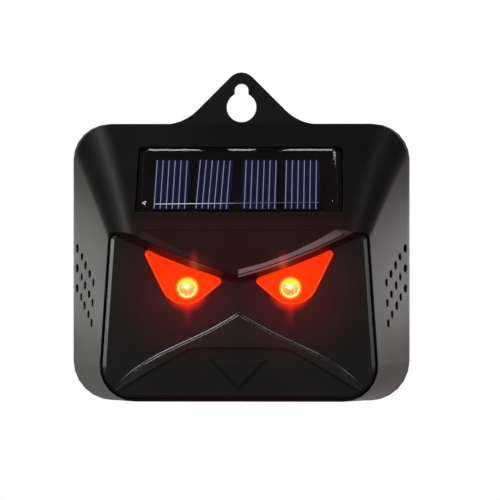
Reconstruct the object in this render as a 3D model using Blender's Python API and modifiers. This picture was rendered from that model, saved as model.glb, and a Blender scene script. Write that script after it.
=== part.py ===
"""A solar ultrasonic pest repeller that hangs on a wall by its tab.

Metres, +Z up. The front faces -Y and the back cover's outer face lies in the plane Y = 0.
A depth is a distance forward from that plane.
"""

import math

import bmesh
import bpy
from mathutils import Matrix, Vector

MM = 0.001

# Overall body
BODY_WIDTH = 84.5 * MM
BODY_HEIGHT = 69.5 * MM
BODY_DEPTH = 32 * MM
WALL = 2.4 * MM
GAP = 0.3 * MM
OVERRUN = 3 * MM
TOP_RADIUS = 9 * MM
FOOT_RADIUS = 10 * MM

# Housing skin
SIDE_BEND = 3.5 * MM
SIDE_DRAW = 8.45 * MM
RIM_DEPTH = 5 * MM
BROW_BELOW_TOP = 26.75 * MM
BROW_RADIUS = 5.5 * MM
FACE_FOOT_RADIUS = 8.3 * MM
LEAST_RADIUS = 1.2 * MM
RIM_WIDTH = 0.25 * MM
RIM_FOOT = 0.5 * MM

# Visor: how far it stands out, how far its face is set back from its lip, and the drop and rise of
# its three edges, whose bow is the part of the rise that comes late
VISOR_REACH = 4.1 * MM
VISOR_FACE_BACK = 1 * MM
VISOR_LIP_EDGE = 0.15 * MM
VISOR_BOW = 4.65 * MM
VISOR_TOP_DROP = 9.72 * MM
VISOR_TOP_RISE = 14.73 * MM
VISOR_TOP_BOW = 8.15 * MM
VISOR_LIP_DROP = 11 * MM
VISOR_LIP_RISE = 12.81 * MM
VISOR_BACK_DROP = 13.25 * MM
VISOR_BACK_RISE = 12.28 * MM
VISOR_END_SHARE = 1.2
VISOR_BACK_RADIUS = 10 * MM
VISOR_FRONT_RADIUS = 0.6 * MM

# Face plate
PLATE_FLARE = 2.66 * MM
PLATE_TUCK = 0.25 * MM
PLATE_TOP_RISE = 12.72 * MM
PLATE_TIP_INSET = 1.5 * MM
PLATE_SHOULDER_DROP = 0.6 * MM
PLATE_SHOULDER_RADIUS = 1.7 * MM
PLATE_BELOW_BROW = 0.95 * MM
PLATE_ABOVE_FOOT = 1.85 * MM
PLATE_THICK = 1.8 * MM
PLATE_PROUD = 0.6 * MM
PLATE_FOOT_RADIUS = 7.5 * MM
PLATE_TOP_RADIUS = 1 * MM
PLATE_EDGE = 0.8 * MM
LEDGE_WIDTH = 1.6 * MM
LEDGE_THICK = 2 * MM

# Lip, muzzle and nose in relief, placed as shares of the way from the plate's notch to its foot
LIP_DROP_SHARE = 0.2437
LIP_RISE = 0.9 * MM
LIP_EDGE = 0.4 * MM
LIP_LAND = 0.35 * MM
LIP_FALL_SHARES = (1.053, -0.556, -0.137, 0.726)
FOLD_DROP_SHARE = 0.549
FOLD_HALF = 11.3 * MM
FOLD_RISE = 1.5 * MM
FOLD_SINK = 0.9 * MM
FOLD_EDGE = 0.7 * MM
FOLD_FALL_SHARES = (0.95, 0.12)
NOSE_DROP_SHARE = 0.6527
NOSE_HEIGHT_SHARE = 0.2827
NOSE_HALF = 7.5 * MM
NOSE_RISE = 0.7 * MM
NOSE_EDGE = 0.95 * MM
NOSE_CORNER = 0.5 * MM

# Eyes and their lamps: shares of the plate's half width at its top, of the drop to its foot
# and, for the lower radius, of the eye's own width
EYE_SIDE = 7.85 * MM
EYE_INNER_SHARE = 0.1252
EYE_LOWER_SHARE = 0.4815
EYE_LOWER_DROP_SHARE = 0.3093
EYE_BELOW_EDGE = 0.8 * MM
EYE_SLOPE_SHARE = 0.9675
EYE_LOWER_RADIUS_SHARE = 0.3158
EYE_CORNER_RADIUS = 0.7 * MM
EYE_PROUD = 0.25 * MM
EYE_FLANGE = 0.9 * MM
EYE_FLANGE_THICK = 1 * MM
EYE_ROUND = 0.2 * MM
LED_SHARE = 0.4016
LED_DROP_SHARE = 0.0394
LED_RADIUS = 2.5 * MM
LED_HEIGHT = 8.6 * MM
LED_PROUD = 1.4 * MM
LED_FLANGE_RADIUS = 2.9 * MM
LED_FLANGE_THICK = 1 * MM
LED_PIN_GAUGE = 0.25 * MM
LED_PIN_PITCH = 2.54 * MM
LED_PIN_LENGTH = 2.6 * MM

# Solar window, measured along the forehead
WINDOW_SIDE = 5.79 * MM
WINDOW_HEIGHT = 23 * MM
WINDOW_ABOVE_BROW = 6.1 * MM
WINDOW_RADIUS = 0.8 * MM
WINDOW_SINK = 3 * MM
WINDOW_SHELF = 2.2 * MM
LEAD_HOLE_RADIUS = 1.7 * MM
PAD_THICK = 0.5 * MM
SOLAR_BOARD_THICK = 1 * MM
CELL_THICK = 0.3 * MM
CELL_CENTRE_SHARES = (-0.333, -0.126, 0.095, 0.3)
CELL_TILTS_DEG = (4.5, 4.0, 0.5, -0.8)
CELL_SPACING = 1.4 * MM
CELL_ABOVE_FOOT = 0.9 * MM
CELL_BELOW_TOP = 1.5 * MM
RESIN_PROUD = 1 * MM
RESIN_ROUND = 0.8 * MM
RESIN_SKIRT = 0.8 * MM

# Sound holes in the side walls
HOLE_RADIUS = 0.9 * MM
HOLE_COLUMNS = 5
HOLE_ROWS = 3
HOLE_FIRST_DEPTH = 6.2 * MM
HOLE_PITCH = 3.15 * MM
HOLE_ROW_PITCH = 5 * MM
HOLE_COLUMN_DROP = 2.1 * MM
HOLE_TOP = 3.5 * MM

# Back cover and hanging tab
COVER_THICK = 2.4 * MM
TAB_HALF = 14.65 * MM
TAB_PEAK = 14.65 * MM
TAB_APEX_RADIUS = 3.8 * MM
TAB_FLARE_RADIUS = 12 * MM
KEYHOLE_RISE = 4.3 * MM
KEYHOLE_RADIUS = 3.75 * MM
KEYHOLE_SLOT_RADIUS = 1.75 * MM
KEYHOLE_SLOT_RISE = 4.2 * MM
LIP_WALL = 1.2 * MM
LIP_HEIGHT = 1.4 * MM
SEAL_WIDTH = 0.8 * MM
SEAL_THICK = 0.9 * MM

# Cover screws and their bosses
SCREW_SIDE = 8.4 * MM
SCREW_TOP = 8 * MM
SCREW_FOOT = 7.4 * MM
SCREW_LENGTH = 8 * MM
SCREW_SHANK = 1.3 * MM
SCREW_HEAD = 2.6 * MM
SCREW_HEAD_DEPTH = 1.3 * MM
SCREW_SUNK = 0.3 * MM
CROSS_LENGTH = 2.8 * MM
CROSS_WIDTH = 0.6 * MM
CROSS_DEPTH = 0.8 * MM
BOSS_WALL = 1.5 * MM
TOP_BOSS_END = 8.4 * MM

# Circuit board
BOARD_BELOW_TOP = 3.65 * MM
BOARD_ABOVE_FOOT = 12.9 * MM
BOARD_THICK = 1.6 * MM
BOARD_RADIUS = 1.5 * MM
POST_RADIUS = 2.3 * MM
POST_BESIDE_EYE = 3.3 * MM
POST_INSET = 3.2 * MM
POST_SIDE = 2.8 * MM
POST_FOOT_SIDE = 5 * MM
BOARD_SCREW_SHANK = 0.9 * MM
BOARD_SCREW_HEAD = 1.9 * MM
BOARD_SCREW_HEAD_THICK = 1.2 * MM
BOARD_SCREW_LENGTH = 5.6 * MM
CHIP_SIZE = (5 * MM, 4 * MM, 1.5 * MM)
CHIP_PLACE = (4 * MM, -6.4 * MM)
CHIP_LEGS = 4
CHIP_LEG_PITCH = 1.27 * MM
CHIP_LEG_WIDTH = 0.4 * MM
CHIP_LEG_REACH = 1 * MM
COIL_RADIUS = 3 * MM
COIL_HEIGHT = 5 * MM
COIL_WAIST = 2.2 * MM
COIL_FLANGE = 0.8 * MM
COIL_PLACE = (-4 * MM, -10 * MM)
CAPACITOR_RADIUS = 2.5 * MM
CAPACITOR_HEIGHT = 6.5 * MM
CAPACITOR_ROUND = 0.4 * MM
CAPACITOR_PLACE = (9.5 * MM, -10.5 * MM)

# Battery and its cradle
CELL_RADIUS = 5.25 * MM
CELL_LENGTH = 44 * MM
NUB_RADIUS = 1.9 * MM
NUB_LENGTH = 0.8 * MM
CRADLE_RIB = 2 * MM
CRADLE_RIB_X = 14 * MM
CRADLE_CLEAR = 0.8 * MM
CONTACT_THICK = 0.4 * MM
CONTACT_HALF = 3.6 * MM
SPRING_LENGTH = 3.2 * MM
SPRING_WIRE = 0.25 * MM
SPRING_RADIUS = 2.4 * MM
SPRING_TURNS = 3
END_WALL = 1.6 * MM

# Transducers behind the side walls
TRANSDUCER_RADIUS = 6.3 * MM
TRANSDUCER_THICK = 3.2 * MM
TRANSDUCER_BACK_RADIUS = 5.2 * MM
TRANSDUCER_STEP = 1.2 * MM
TRANSDUCER_GAP = 0.6 * MM
FOAM_THICK = 1 * MM
FOAM_WIDTH = 1.6 * MM

# Slide switch in the back cover
SWITCH_X = 16 * MM
SWITCH_Z = 12 * MM
SWITCH_LENGTH = 8.6 * MM
SWITCH_HEIGHT = 4.2 * MM
SWITCH_BODY_DEPTH = 4 * MM
SWITCH_TRAVEL = 2 * MM
KNOB_LENGTH = 2 * MM
KNOB_HEIGHT = 1.8 * MM
KNOB_SUNK = 0.5 * MM
KNOB_FOOT = 1 * MM
KNOB_FOOT_LENGTH = 3.4 * MM
KNOB_FOOT_HEIGHT = 2.6 * MM
KNOB_GROOVE = 0.25 * MM
DISH_LENGTH = 12 * MM
DISH_HEIGHT = 7 * MM
DISH_SINK = 0.9 * MM
SWITCH_RAIL = 1.2 * MM
SWITCH_RAIL_DEPTH = 3 * MM

# Leads
LEAD_RADIUS = 0.45 * MM
LEAD_HALF_PITCH = 0.75 * MM
LEAD_STEPS = 3

# Fineness
FILLET_SHARE = 0.9
CORNER_STEPS = 6
SMALL_STEPS = 3
TURN_STEPS = 16
HOLE_SIDES = 10
ROUND_SIDES = 24
SPRING_POINTS = 10
SKIN_STEPS = 3
VISOR_STEPS = 6
MUZZLE_STEPS = 30
WELD = 0.001 * MM
QUARTER_TURN = math.pi / 2
PLANAR_ANGLE = math.radians(1)
BENT_ANGLE = math.radians(0.1)
SHARP_ANGLE = math.radians(30)
BEVEL_ANGLE = math.radians(50)

FRONT = Matrix.Rotation(QUARTER_TURN, 4, "X")

# Each finish: colour, roughness and metallic value
COLOURS = {
    "black_abs": ((0.012, 0.012, 0.013), 0.42, 0),
    "black_abs_back": ((0.014, 0.014, 0.015), 0.5, 0),
    "orange_lens": ((0.9, 0.12, 0.02), 0.2, 0),
    "led_epoxy": ((1, 0.8, 0.35), 0.1, 0),
    "clear_resin": ((0.05, 0.05, 0.07), 0.05, 0),
    "silicon": ((0.02, 0.03, 0.16), 0.25, 0.2),
    "dark_board": ((0.02, 0.02, 0.02), 0.5, 0),
    "green_board": ((0.02, 0.16, 0.06), 0.45, 0),
    "steel": ((0.6, 0.6, 0.6), 0.3, 1),
    "rubber": ((0.03, 0.03, 0.03), 0.8, 0),
    "foam": ((0.08, 0.08, 0.08), 0.95, 0),
    "aluminium": ((0.75, 0.75, 0.76), 0.35, 1),
    "cell_wrap": ((0.05, 0.28, 0.12), 0.35, 0),
    "chip_plastic": ((0.02, 0.02, 0.022), 0.6, 0),
    "red_wire": ((0.6, 0.02, 0.02), 0.4, 0),
    "black_wire": ((0.02, 0.02, 0.02), 0.4, 0),
    "switch_plastic": ((0.02, 0.02, 0.02), 0.45, 0),
}


# Worked-out places
HALF_WIDTH = BODY_WIDTH / 2
HALF_HEIGHT = BODY_HEIGHT / 2
BROW_HEIGHT = HALF_HEIGHT - BROW_BELOW_TOP
FACE_DEPTH = BODY_DEPTH - VISOR_REACH
VISOR_FACE = BODY_DEPTH - VISOR_FACE_BACK
VISOR_TOP = BROW_HEIGHT - VISOR_TOP_DROP
VISOR_LIP = BROW_HEIGHT - VISOR_LIP_DROP
VISOR_BACK = BROW_HEIGHT - VISOR_BACK_DROP
PLATE_FOOT_HALF = HALF_WIDTH - SIDE_DRAW
PLATE_TOP_HALF = PLATE_FOOT_HALF - PLATE_FLARE
PLATE_TOP = BROW_HEIGHT - PLATE_BELOW_BROW
PLATE_FOOT = PLATE_ABOVE_FOOT - HALF_HEIGHT
PLATE_TOP_SLOPE = PLATE_TOP_RISE / PLATE_TOP_HALF
PLATE_NOTCH = VISOR_BACK + PLATE_TUCK
NOTCH_TO_FOOT = PLATE_NOTCH - PLATE_FOOT
LIP_APEX = PLATE_NOTCH - NOTCH_TO_FOOT * LIP_DROP_SHARE
FOLD_TOP = PLATE_NOTCH - NOTCH_TO_FOOT * FOLD_DROP_SHARE
NOSE_TOP = PLATE_NOTCH - NOTCH_TO_FOOT * NOSE_DROP_SHARE
NOSE_DROP = NOTCH_TO_FOOT * NOSE_HEIGHT_SHARE
LED_X = PLATE_TOP_HALF * LED_SHARE
LED_Z = PLATE_NOTCH - NOTCH_TO_FOOT * LED_DROP_SHARE
EYE_OUTER_X = PLATE_TOP_HALF - EYE_SIDE
EYE_INNER_X = PLATE_TOP_HALF * EYE_INNER_SHARE
EYE_LOWER_RADIUS = (EYE_OUTER_X - EYE_INNER_X) * EYE_LOWER_RADIUS_SHARE
WINDOW_WIDTH = 2 * (PLATE_TOP_HALF - WINDOW_SIDE)
CELL_WIDTH = (CELL_CENTRE_SHARES[3] - CELL_CENTRE_SHARES[2]) * WINDOW_WIDTH - CELL_SPACING
BOARD_TOP = PLATE_TOP - BOARD_BELOW_TOP
BOARD_FOOT = PLATE_FOOT + BOARD_ABOVE_FOOT
POST_X = EYE_OUTER_X + POST_BESIDE_EYE
BOARD_WIDTH = 2 * (POST_X + POST_SIDE)
POST_PLACES = (
    (-POST_X, BOARD_TOP - POST_INSET),
    (POST_X, BOARD_TOP - POST_INSET),
    (POST_FOOT_SIDE - BOARD_WIDTH / 2, BOARD_FOOT + POST_INSET),
    (BOARD_WIDTH / 2 - POST_FOOT_SIDE, BOARD_FOOT + POST_INSET),
)
ROOF_RATIO = (HALF_HEIGHT - BROW_HEIGHT) / (VISOR_FACE - RIM_DEPTH)
ROOF_ANGLE = math.atan(ROOF_RATIO)
ROOF_SECANT = math.hypot(ROOF_RATIO, 1)
FLARE_RATIO = (PLATE_FOOT_HALF - PLATE_TOP_HALF) / (PLATE_TOP - PLATE_FOOT)
SIDE_RATIO = (HALF_WIDTH - PLATE_FOOT_HALF) / (FACE_DEPTH - SIDE_BEND)
SIDE_SECANT = math.hypot(SIDE_RATIO, 1)
PLATE_FRONT = FACE_DEPTH + PLATE_PROUD
PLATE_BACK = PLATE_FRONT - PLATE_THICK
LEDGE_FRONT = PLATE_BACK - GAP
LEDGE_BACK = LEDGE_FRONT - LEDGE_THICK
LED_TIP = PLATE_FRONT + EYE_PROUD + LED_PROUD
BOARD_FRONT = LED_TIP - LED_HEIGHT - GAP
BOARD_BACK = BOARD_FRONT - BOARD_THICK
BOSS_RADIUS = SCREW_SHANK + GAP + BOSS_WALL
BATTERY_Z = SCREW_FOOT - HALF_HEIGHT + BOSS_RADIUS + GAP + CELL_RADIUS
BATTERY_DEPTH = COVER_THICK + CRADLE_CLEAR + CELL_RADIUS
SWITCH_FRONT = COVER_THICK + GAP + KNOB_FOOT + GAP

parts = bpy.data.collections.new("solar_pest_repeller")
cutters = bpy.data.collections.new("cutters")


def clear_scene():
    for old in list(bpy.data.objects):
        bpy.data.objects.remove(old)
    bpy.context.scene.collection.children.link(parts)
    bpy.context.scene.collection.children.link(cutters)


def material(slot):
    """The finish of a slot, made once."""
    found = bpy.data.materials.get(slot)
    if found:
        return found
    colour, roughness, metallic = COLOURS[slot]
    made = bpy.data.materials.new(slot)
    made.use_nodes = True
    shader = made.node_tree.nodes["Principled BSDF"]
    shader.inputs["Base Color"].default_value = (*colour, 1)
    shader.inputs["Roughness"].default_value = roughness
    shader.inputs["Metallic"].default_value = metallic
    made.diffuse_color = (*colour, 1)
    return made


def solid(name, mesh, frame, slot):
    """An object of this mesh in a frame: a part when it has a slot, and otherwise a cutter."""
    made = bpy.data.objects.new(name, mesh)
    made.matrix_world = frame
    if slot:
        mesh.materials.append(material(slot))
        parts.objects.link(made)
    else:
        made.hide_render = True
        made.display_type = "WIRE"
        cutters.objects.link(made)
    return made


def mesh_of(name, bm):
    """The finished mesh of a bmesh, welded and facing outwards."""
    bmesh.ops.remove_doubles(bm, verts=bm.verts, dist=WELD)
    bmesh.ops.recalc_face_normals(bm, faces=bm.faces)
    mesh = bpy.data.meshes.new(name)
    bm.to_mesh(mesh)
    bm.free()
    mesh.shade_smooth()
    mesh.set_sharp_from_angle(angle=SHARP_ANGLE)
    return mesh


def boolean(target, cutter, operation="DIFFERENCE"):
    """Cuts the target by default, or joins the two or keeps what they share."""
    modifier = target.modifiers.new(cutter.name, "BOOLEAN")
    modifier.object = cutter
    modifier.operation = operation
    modifier.solver = "EXACT"
    return target


def placed(x, depth, z):
    """A point in space, a depth in front of the back plane."""
    return Vector((x, -depth, z))


def rounded(corners, radii, steps=CORNER_STEPS):
    """A closed outline whose corners are arcs of their radii, or sharp where the radius is zero."""
    points = []
    for i, (corner, radius) in enumerate(zip(corners, radii)):
        here = Vector(corner)
        if not radius:
            points.append(tuple(here))
            continue
        back = Vector(corners[i - 1]) - here
        on = Vector(corners[(i + 1) % len(corners)]) - here
        half = back.angle(on) / 2
        radius = min(radius, min(back.length, on.length) * math.tan(half) * FILLET_SHARE)
        back.normalize()
        on.normalize()
        centre = here + (back + on).normalized() * (radius / math.sin(half))
        spoke = here + back * (radius / math.tan(half)) - centre
        end = here + on * (radius / math.tan(half)) - centre
        first = math.atan2(spoke.y, spoke.x)
        turn = math.remainder(math.atan2(end.y, end.x) - first, math.tau)
        for k in range(steps + 1):
            angle = first + turn * k / steps
            points.append((centre.x + radius * math.cos(angle), centre.y + radius * math.sin(angle)))
    return points


def box_outline(width, height, radius=0, centre=(0, 0), steps=SMALL_STEPS):
    x, z = centre
    corners = [
        (x - width / 2, z - height / 2),
        (x + width / 2, z - height / 2),
        (x + width / 2, z + height / 2),
        (x - width / 2, z + height / 2),
    ]
    return rounded(corners, [radius] * len(corners), steps)


def circle_outline(radius, centre=(0, 0), sides=HOLE_SIDES):
    turns = [math.tau * k / sides for k in range(sides)]
    return [(centre[0] + radius * math.cos(a), centre[1] + radius * math.sin(a)) for a in turns]


def plate(name, outlines, low, high, slot=None, frame=FRONT):
    """A flat outline, with any further ones as holes in it, between two heights of its frame."""
    curve = bpy.data.curves.new(name + "_outline", "CURVE")
    curve.dimensions = "2D"
    curve.fill_mode = "BOTH"
    curve.extrude = (high - low) / 2
    for outline in outlines:
        spline = curve.splines.new("POLY")
        spline.points.add(len(outline) - 1)
        for point, (x, y) in zip(spline.points, outline):
            point.co = (x, y, 0, 1)
        spline.use_cyclic_u = True
    guide = bpy.data.objects.new(name + "_outline", curve)
    cutters.objects.link(guide)
    graph = bpy.context.evaluated_depsgraph_get()
    filled = bpy.data.meshes.new_from_object(guide.evaluated_get(graph))
    bpy.data.objects.remove(guide)
    bm = bmesh.new()
    bm.from_mesh(filled)
    bpy.data.meshes.remove(filled)
    bmesh.ops.translate(bm, verts=bm.verts, vec=(0, 0, (low + high) / 2))
    return solid(name, mesh_of(name, bm), frame, slot)


def cylinder(name, radius, low, high, slot=None, frame=FRONT, centre=(0, 0), sides=HOLE_SIDES):
    bm = bmesh.new()
    middle = Matrix.Translation((centre[0], centre[1], (low + high) / 2))
    bmesh.ops.create_cone(
        bm,
        cap_ends=True,
        segments=sides,
        radius1=radius,
        radius2=radius,
        depth=high - low,
        matrix=middle,
    )
    return solid(name, mesh_of(name, bm), frame, slot)


def turned(name, profile, slot=None, frame=FRONT, centre=(0, 0), steps=TURN_STEPS):
    """A profile of radius and height, from its top down its outer side, turned about the frame's Z."""
    mesh = bpy.data.meshes.new(name)
    points = [(radius, 0, height) for radius, height in profile]
    edges = [(i, i + 1) for i in range(len(points) - 1)]
    if profile[0][0] and profile[-1][0]:
        edges.append((len(points) - 1, 0))
    mesh.from_pydata(points, edges, [])
    made = solid(name, mesh, frame @ Matrix.Translation((*centre, 0)), slot)
    screw = made.modifiers.new("turn", "SCREW")
    screw.steps = steps
    screw.render_steps = steps
    screw.use_merge_vertices = True
    screw.merge_threshold = WELD
    return made


def loft(name, rings, slot=None, frame=Matrix.Identity(4)):
    """A closed body through rings of equally many points, with its bent faces split in two."""
    bm = bmesh.new()
    rows = [[bm.verts.new(point) for point in ring] for ring in rings]
    bm.faces.new(rows[0])
    bm.faces.new(rows[-1])
    for row, following in zip(rows, rows[1:]):
        for k in range(len(row)):
            after = (k + 1) % len(row)
            bm.faces.new((row[k], row[after], following[after], following[k]))
    bmesh.ops.connect_verts_nonplanar(bm, angle_limit=BENT_ANGLE, faces=bm.faces)
    return solid(name, mesh_of(name, bm), frame, slot)


def round_edges(target, width, segments=2):
    """Rounds the edges of a plate, whose filled faces are first made whole."""
    whole = target.modifiers.new("whole", "DECIMATE")
    whole.decimate_type = "DISSOLVE"
    whole.angle_limit = PLANAR_ANGLE
    bevel = target.modifiers.new("round", "BEVEL")
    bevel.width = width
    bevel.segments = segments
    bevel.limit_method = "ANGLE"
    bevel.angle_limit = BEVEL_ANGLE
    return target


def tube(name, route, radius, slot, resolution=1):
    """A round lead or wire along a smooth curve through the points of its route."""
    points = [Vector(p) for p in route]
    ends = [points[0] * 2 - points[1], *points, points[-1] * 2 - points[-2]]
    smooth = []
    for a, b, c, d in zip(ends, ends[1:], ends[2:], ends[3:]):
        for k in range(LEAD_STEPS):
            t = k / LEAD_STEPS
            bend = (a * -1 + b * 3 - c * 3 + d) * t**3 + (a * 2 - b * 5 + c * 4 - d) * t**2
            smooth.append((bend + (c - a) * t + b * 2) / 2)
    smooth.append(points[-1])
    return wire(name, smooth, radius, slot, resolution)


def wire(name, points, radius, slot, resolution=1):
    """A round wire with straight runs between its points."""
    curve = bpy.data.curves.new(name, "CURVE")
    curve.dimensions = "3D"
    curve.bevel_depth = radius
    curve.bevel_resolution = resolution
    curve.use_fill_caps = True
    spline = curve.splines.new("POLY")
    spline.points.add(len(points) - 1)
    for point, place in zip(spline.points, points):
        point.co = (*place, 1)
    curve.materials.append(material(slot))
    made = bpy.data.objects.new(name, curve)
    parts.objects.link(made)
    return made


# Housing skin


def side_reach(depth, height):
    """Half the housing's width at a depth and a height, on its outside."""
    taper = max(0, (depth - SIDE_BEND) / (FACE_DEPTH - SIDE_BEND))
    face = PLATE_TOP_HALF + GAP + RIM_WIDTH + (PLATE_TOP - height) * FLARE_RATIO
    return HALF_WIDTH - taper * (HALF_WIDTH - face)


def roof(depth, inset=0):
    """The height of the housing's top, flat over the rim and then sloping down to the brow and the lip."""
    slope = BROW_HEIGHT + (VISOR_FACE - depth) * ROOF_RATIO
    return min(HALF_HEIGHT - inset, slope - inset * ROOF_SECANT)


def foot(depth):
    """The height of the housing's underside, drawn up a little towards the face."""
    draft = HALF_HEIGHT + PLATE_FOOT - GAP - RIM_FOOT
    return draft * depth / FACE_DEPTH - HALF_HEIGHT


def between(first, last, share):
    return first + (last - first) * min(1, max(0, share))


def skin_outline(depth, inset=0):
    """The housing's outline at a depth, drawn in by a wall's thickness."""
    low, high = foot(depth) + inset, roof(depth, inset)
    sideways = inset * SIDE_SECANT
    at_foot, at_roof = side_reach(depth, low) - sideways, side_reach(depth, high) - sideways
    share = (depth - RIM_DEPTH) / (BODY_DEPTH - RIM_DEPTH)
    top_radius = max(LEAST_RADIUS, between(TOP_RADIUS, BROW_RADIUS, share) - inset)
    foot_radius = max(LEAST_RADIUS, between(FOOT_RADIUS, FACE_FOOT_RADIUS, share) - inset)
    corners = [(-at_foot, low), (at_foot, low), (at_roof, high), (-at_roof, high)]
    return rounded(corners, [foot_radius, foot_radius, top_radius, top_radius])


def skin_ring(depth, inset=0):
    return [placed(x, depth, z) for x, z in skin_outline(depth, inset)]


def beside_visor(apex, rise, radius, bow=VISOR_BOW, limit=-BODY_HEIGHT):
    """All between a visor line, lowest at the apex, and a level below it, or one above it."""
    shares = [VISOR_END_SHARE * k / VISOR_STEPS for k in range(VISOR_STEPS, 0, -1)]
    right = [(PLATE_TOP_HALF * t, apex + (rise - bow) * t + bow * t * t) for t in shares]
    slope = (rise - bow + 2 * bow * VISOR_END_SHARE) / PLATE_TOP_HALF
    right.insert(0, (BODY_WIDTH, right[0][1] + (BODY_WIDTH - right[0][0]) * slope))
    left = [(-x, z) for x, z in reversed(right)]
    corners = [(-BODY_WIDTH, limit), (BODY_WIDTH, limit), *right, (0, apex), *left]
    radii = [0] * len(corners)
    radii[2 + len(right)] = radius
    return rounded(corners, radii)


def grown(corners, radii, grow=0):
    """A rounded outline whose corners run anticlockwise, moved outwards all round."""
    moved, turned_radii = [], []
    corners = [Vector(corner) for corner in corners]
    for i, (corner, radius) in enumerate(zip(corners, radii)):
        back = (corners[i - 1] - corner).normalized()
        on = (corners[(i + 1) % len(corners)] - corner).normalized()
        hand = math.copysign(1, on.x * back.y - on.y * back.x)
        moved.append(tuple(corner - (back + on) * (hand * grow / math.sin(back.angle(on)))))
        turned_radii.append(max(GAP, radius + hand * grow) if radius else 0)
    return rounded(moved, turned_radii)


def plate_side(height):
    return PLATE_TOP_HALF + (PLATE_TOP - height) * FLARE_RATIO


def plate_outline(grow=0):
    """The face plate's outline: straight sides, round lower corners, two tips and a notched top."""
    foot_half = plate_side(PLATE_FOOT)
    tip_x = PLATE_TOP_HALF - PLATE_TIP_INSET
    tip_z = PLATE_NOTCH + tip_x * PLATE_TOP_SLOPE
    shoulder = tip_z - PLATE_SHOULDER_DROP
    right = [(foot_half, PLATE_FOOT), (plate_side(shoulder), shoulder), (tip_x, tip_z)]
    corners = [*right, (0, PLATE_NOTCH), *[(-x, z) for x, z in reversed(right)]]
    side_radii = [PLATE_FOOT_RADIUS, PLATE_SHOULDER_RADIUS, 0]
    return grown(corners, [*side_radii, VISOR_BACK_RADIUS, *reversed(side_radii)], grow)


def face_opening():
    """The opening inside the ledge that the face plate rests on."""
    corner_x = plate_side(PLATE_NOTCH) / (1 + PLATE_TOP_SLOPE * FLARE_RATIO)
    right = [(plate_side(PLATE_FOOT), PLATE_FOOT), (corner_x, PLATE_NOTCH + corner_x * PLATE_TOP_SLOPE)]
    corners = [*right, (0, PLATE_NOTCH), *[(-x, z) for x, z in reversed(right)]]
    side_radii = [PLATE_FOOT_RADIUS, PLATE_TOP_RADIUS]
    return grown(corners, [*side_radii, VISOR_BACK_RADIUS, *reversed(side_radii)], -LEDGE_WIDTH)


def forehead_frame(above_brow):
    """A frame on the forehead's surface: X to the right, Y up the slope, Z outwards."""
    run = above_brow / ROOF_SECANT
    origin = placed(0, VISOR_FACE - run, BROW_HEIGHT + run * ROOF_RATIO)
    return Matrix.Translation(origin) @ Matrix.Rotation(ROOF_ANGLE, 4, "X")


def wall_frame(depth, height, side):
    """A frame on a side wall's outer surface, with Z outwards; side is 1 on the right and -1 on the left."""
    step = WALL
    here = Vector((side_reach(depth, height), -depth, height))
    along = Vector((side_reach(depth + step, height), -depth - step, height)) - here
    upward = Vector((side_reach(depth, height + step), -depth, height + step)) - here
    out = upward.cross(along).normalized()
    up = upward.normalized()
    across = up.cross(out)
    if side < 0:
        here.x, out.x, up.x = -here.x, -out.x, -up.x
        across = up.cross(out)
    axes = Matrix((across, up, out)).transposed().to_4x4()
    return Matrix.Translation(here) @ axes


def screw_places():
    side = HALF_WIDTH - SCREW_SIDE
    top, low = HALF_HEIGHT - SCREW_TOP, SCREW_FOOT - HALF_HEIGHT
    return [(-side, top), (side, top), (-side, low), (side, low)]


def grille_places():
    """The depth and height of each sound hole, in slanted columns."""
    return [
        (HOLE_FIRST_DEPTH + c * HOLE_PITCH, HOLE_TOP - c * HOLE_COLUMN_DROP - r * HOLE_ROW_PITCH)
        for c in range(HOLE_COLUMNS)
        for r in range(HOLE_ROWS)
    ]


def grille_middle():
    depth = HOLE_FIRST_DEPTH + HOLE_PITCH * (HOLE_COLUMNS - 1) / 2
    drop = HOLE_COLUMN_DROP * (HOLE_COLUMNS - 1) + HOLE_ROW_PITCH * (HOLE_ROWS - 1)
    return depth, HOLE_TOP - drop / 2


def window_frame():
    return forehead_frame(WINDOW_ABOVE_BROW + WINDOW_HEIGHT / 2)


def housing_cavity():
    """The hollow inside the housing, less its bosses, the tub under the window and the face's ledge."""
    bend = RIM_DEPTH - WALL * (ROOF_SECANT - 1) / ROOF_RATIO
    depths = [COVER_THICK - OVERRUN, bend, RIM_DEPTH]
    depths += [(RIM_DEPTH + LEDGE_BACK) / 2, LEDGE_BACK, VISOR_FACE - WALL]
    hollow = loft("cavity", [skin_ring(depth, WALL) for depth in depths])
    face_block = beside_visor(VISOR_BACK + WALL, PLATE_TOP_RISE, VISOR_BACK_RADIUS, bow=0)
    boolean(hollow, plate("face_block", [face_block], LEDGE_BACK, BODY_DEPTH + OVERRUN))
    tub = box_outline(WINDOW_WIDTH + 2 * WALL, WINDOW_HEIGHT + 2 * WALL, WINDOW_RADIUS)
    boolean(hollow, plate("tub_block", [tub], -WINDOW_SINK - WINDOW_SHELF, OVERRUN, frame=window_frame()))
    ends = (TOP_BOSS_END, TOP_BOSS_END, LEDGE_FRONT, LEDGE_FRONT)
    low = COVER_THICK + GAP
    for i, (place, end) in enumerate(zip(screw_places(), ends)):
        boss = cylinder(f"boss_{i}", BOSS_RADIUS, low, end + OVERRUN, centre=place, sides=ROUND_SIDES)
        boolean(hollow, boss)
    return hollow


def visor_ring(depth, apex, rise, radius=VISOR_FRONT_RADIUS, bow=VISOR_BOW, limit=-BODY_HEIGHT):
    return [placed(x, depth, z) for x, z in beside_visor(apex, rise, radius, bow, limit)]


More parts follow.
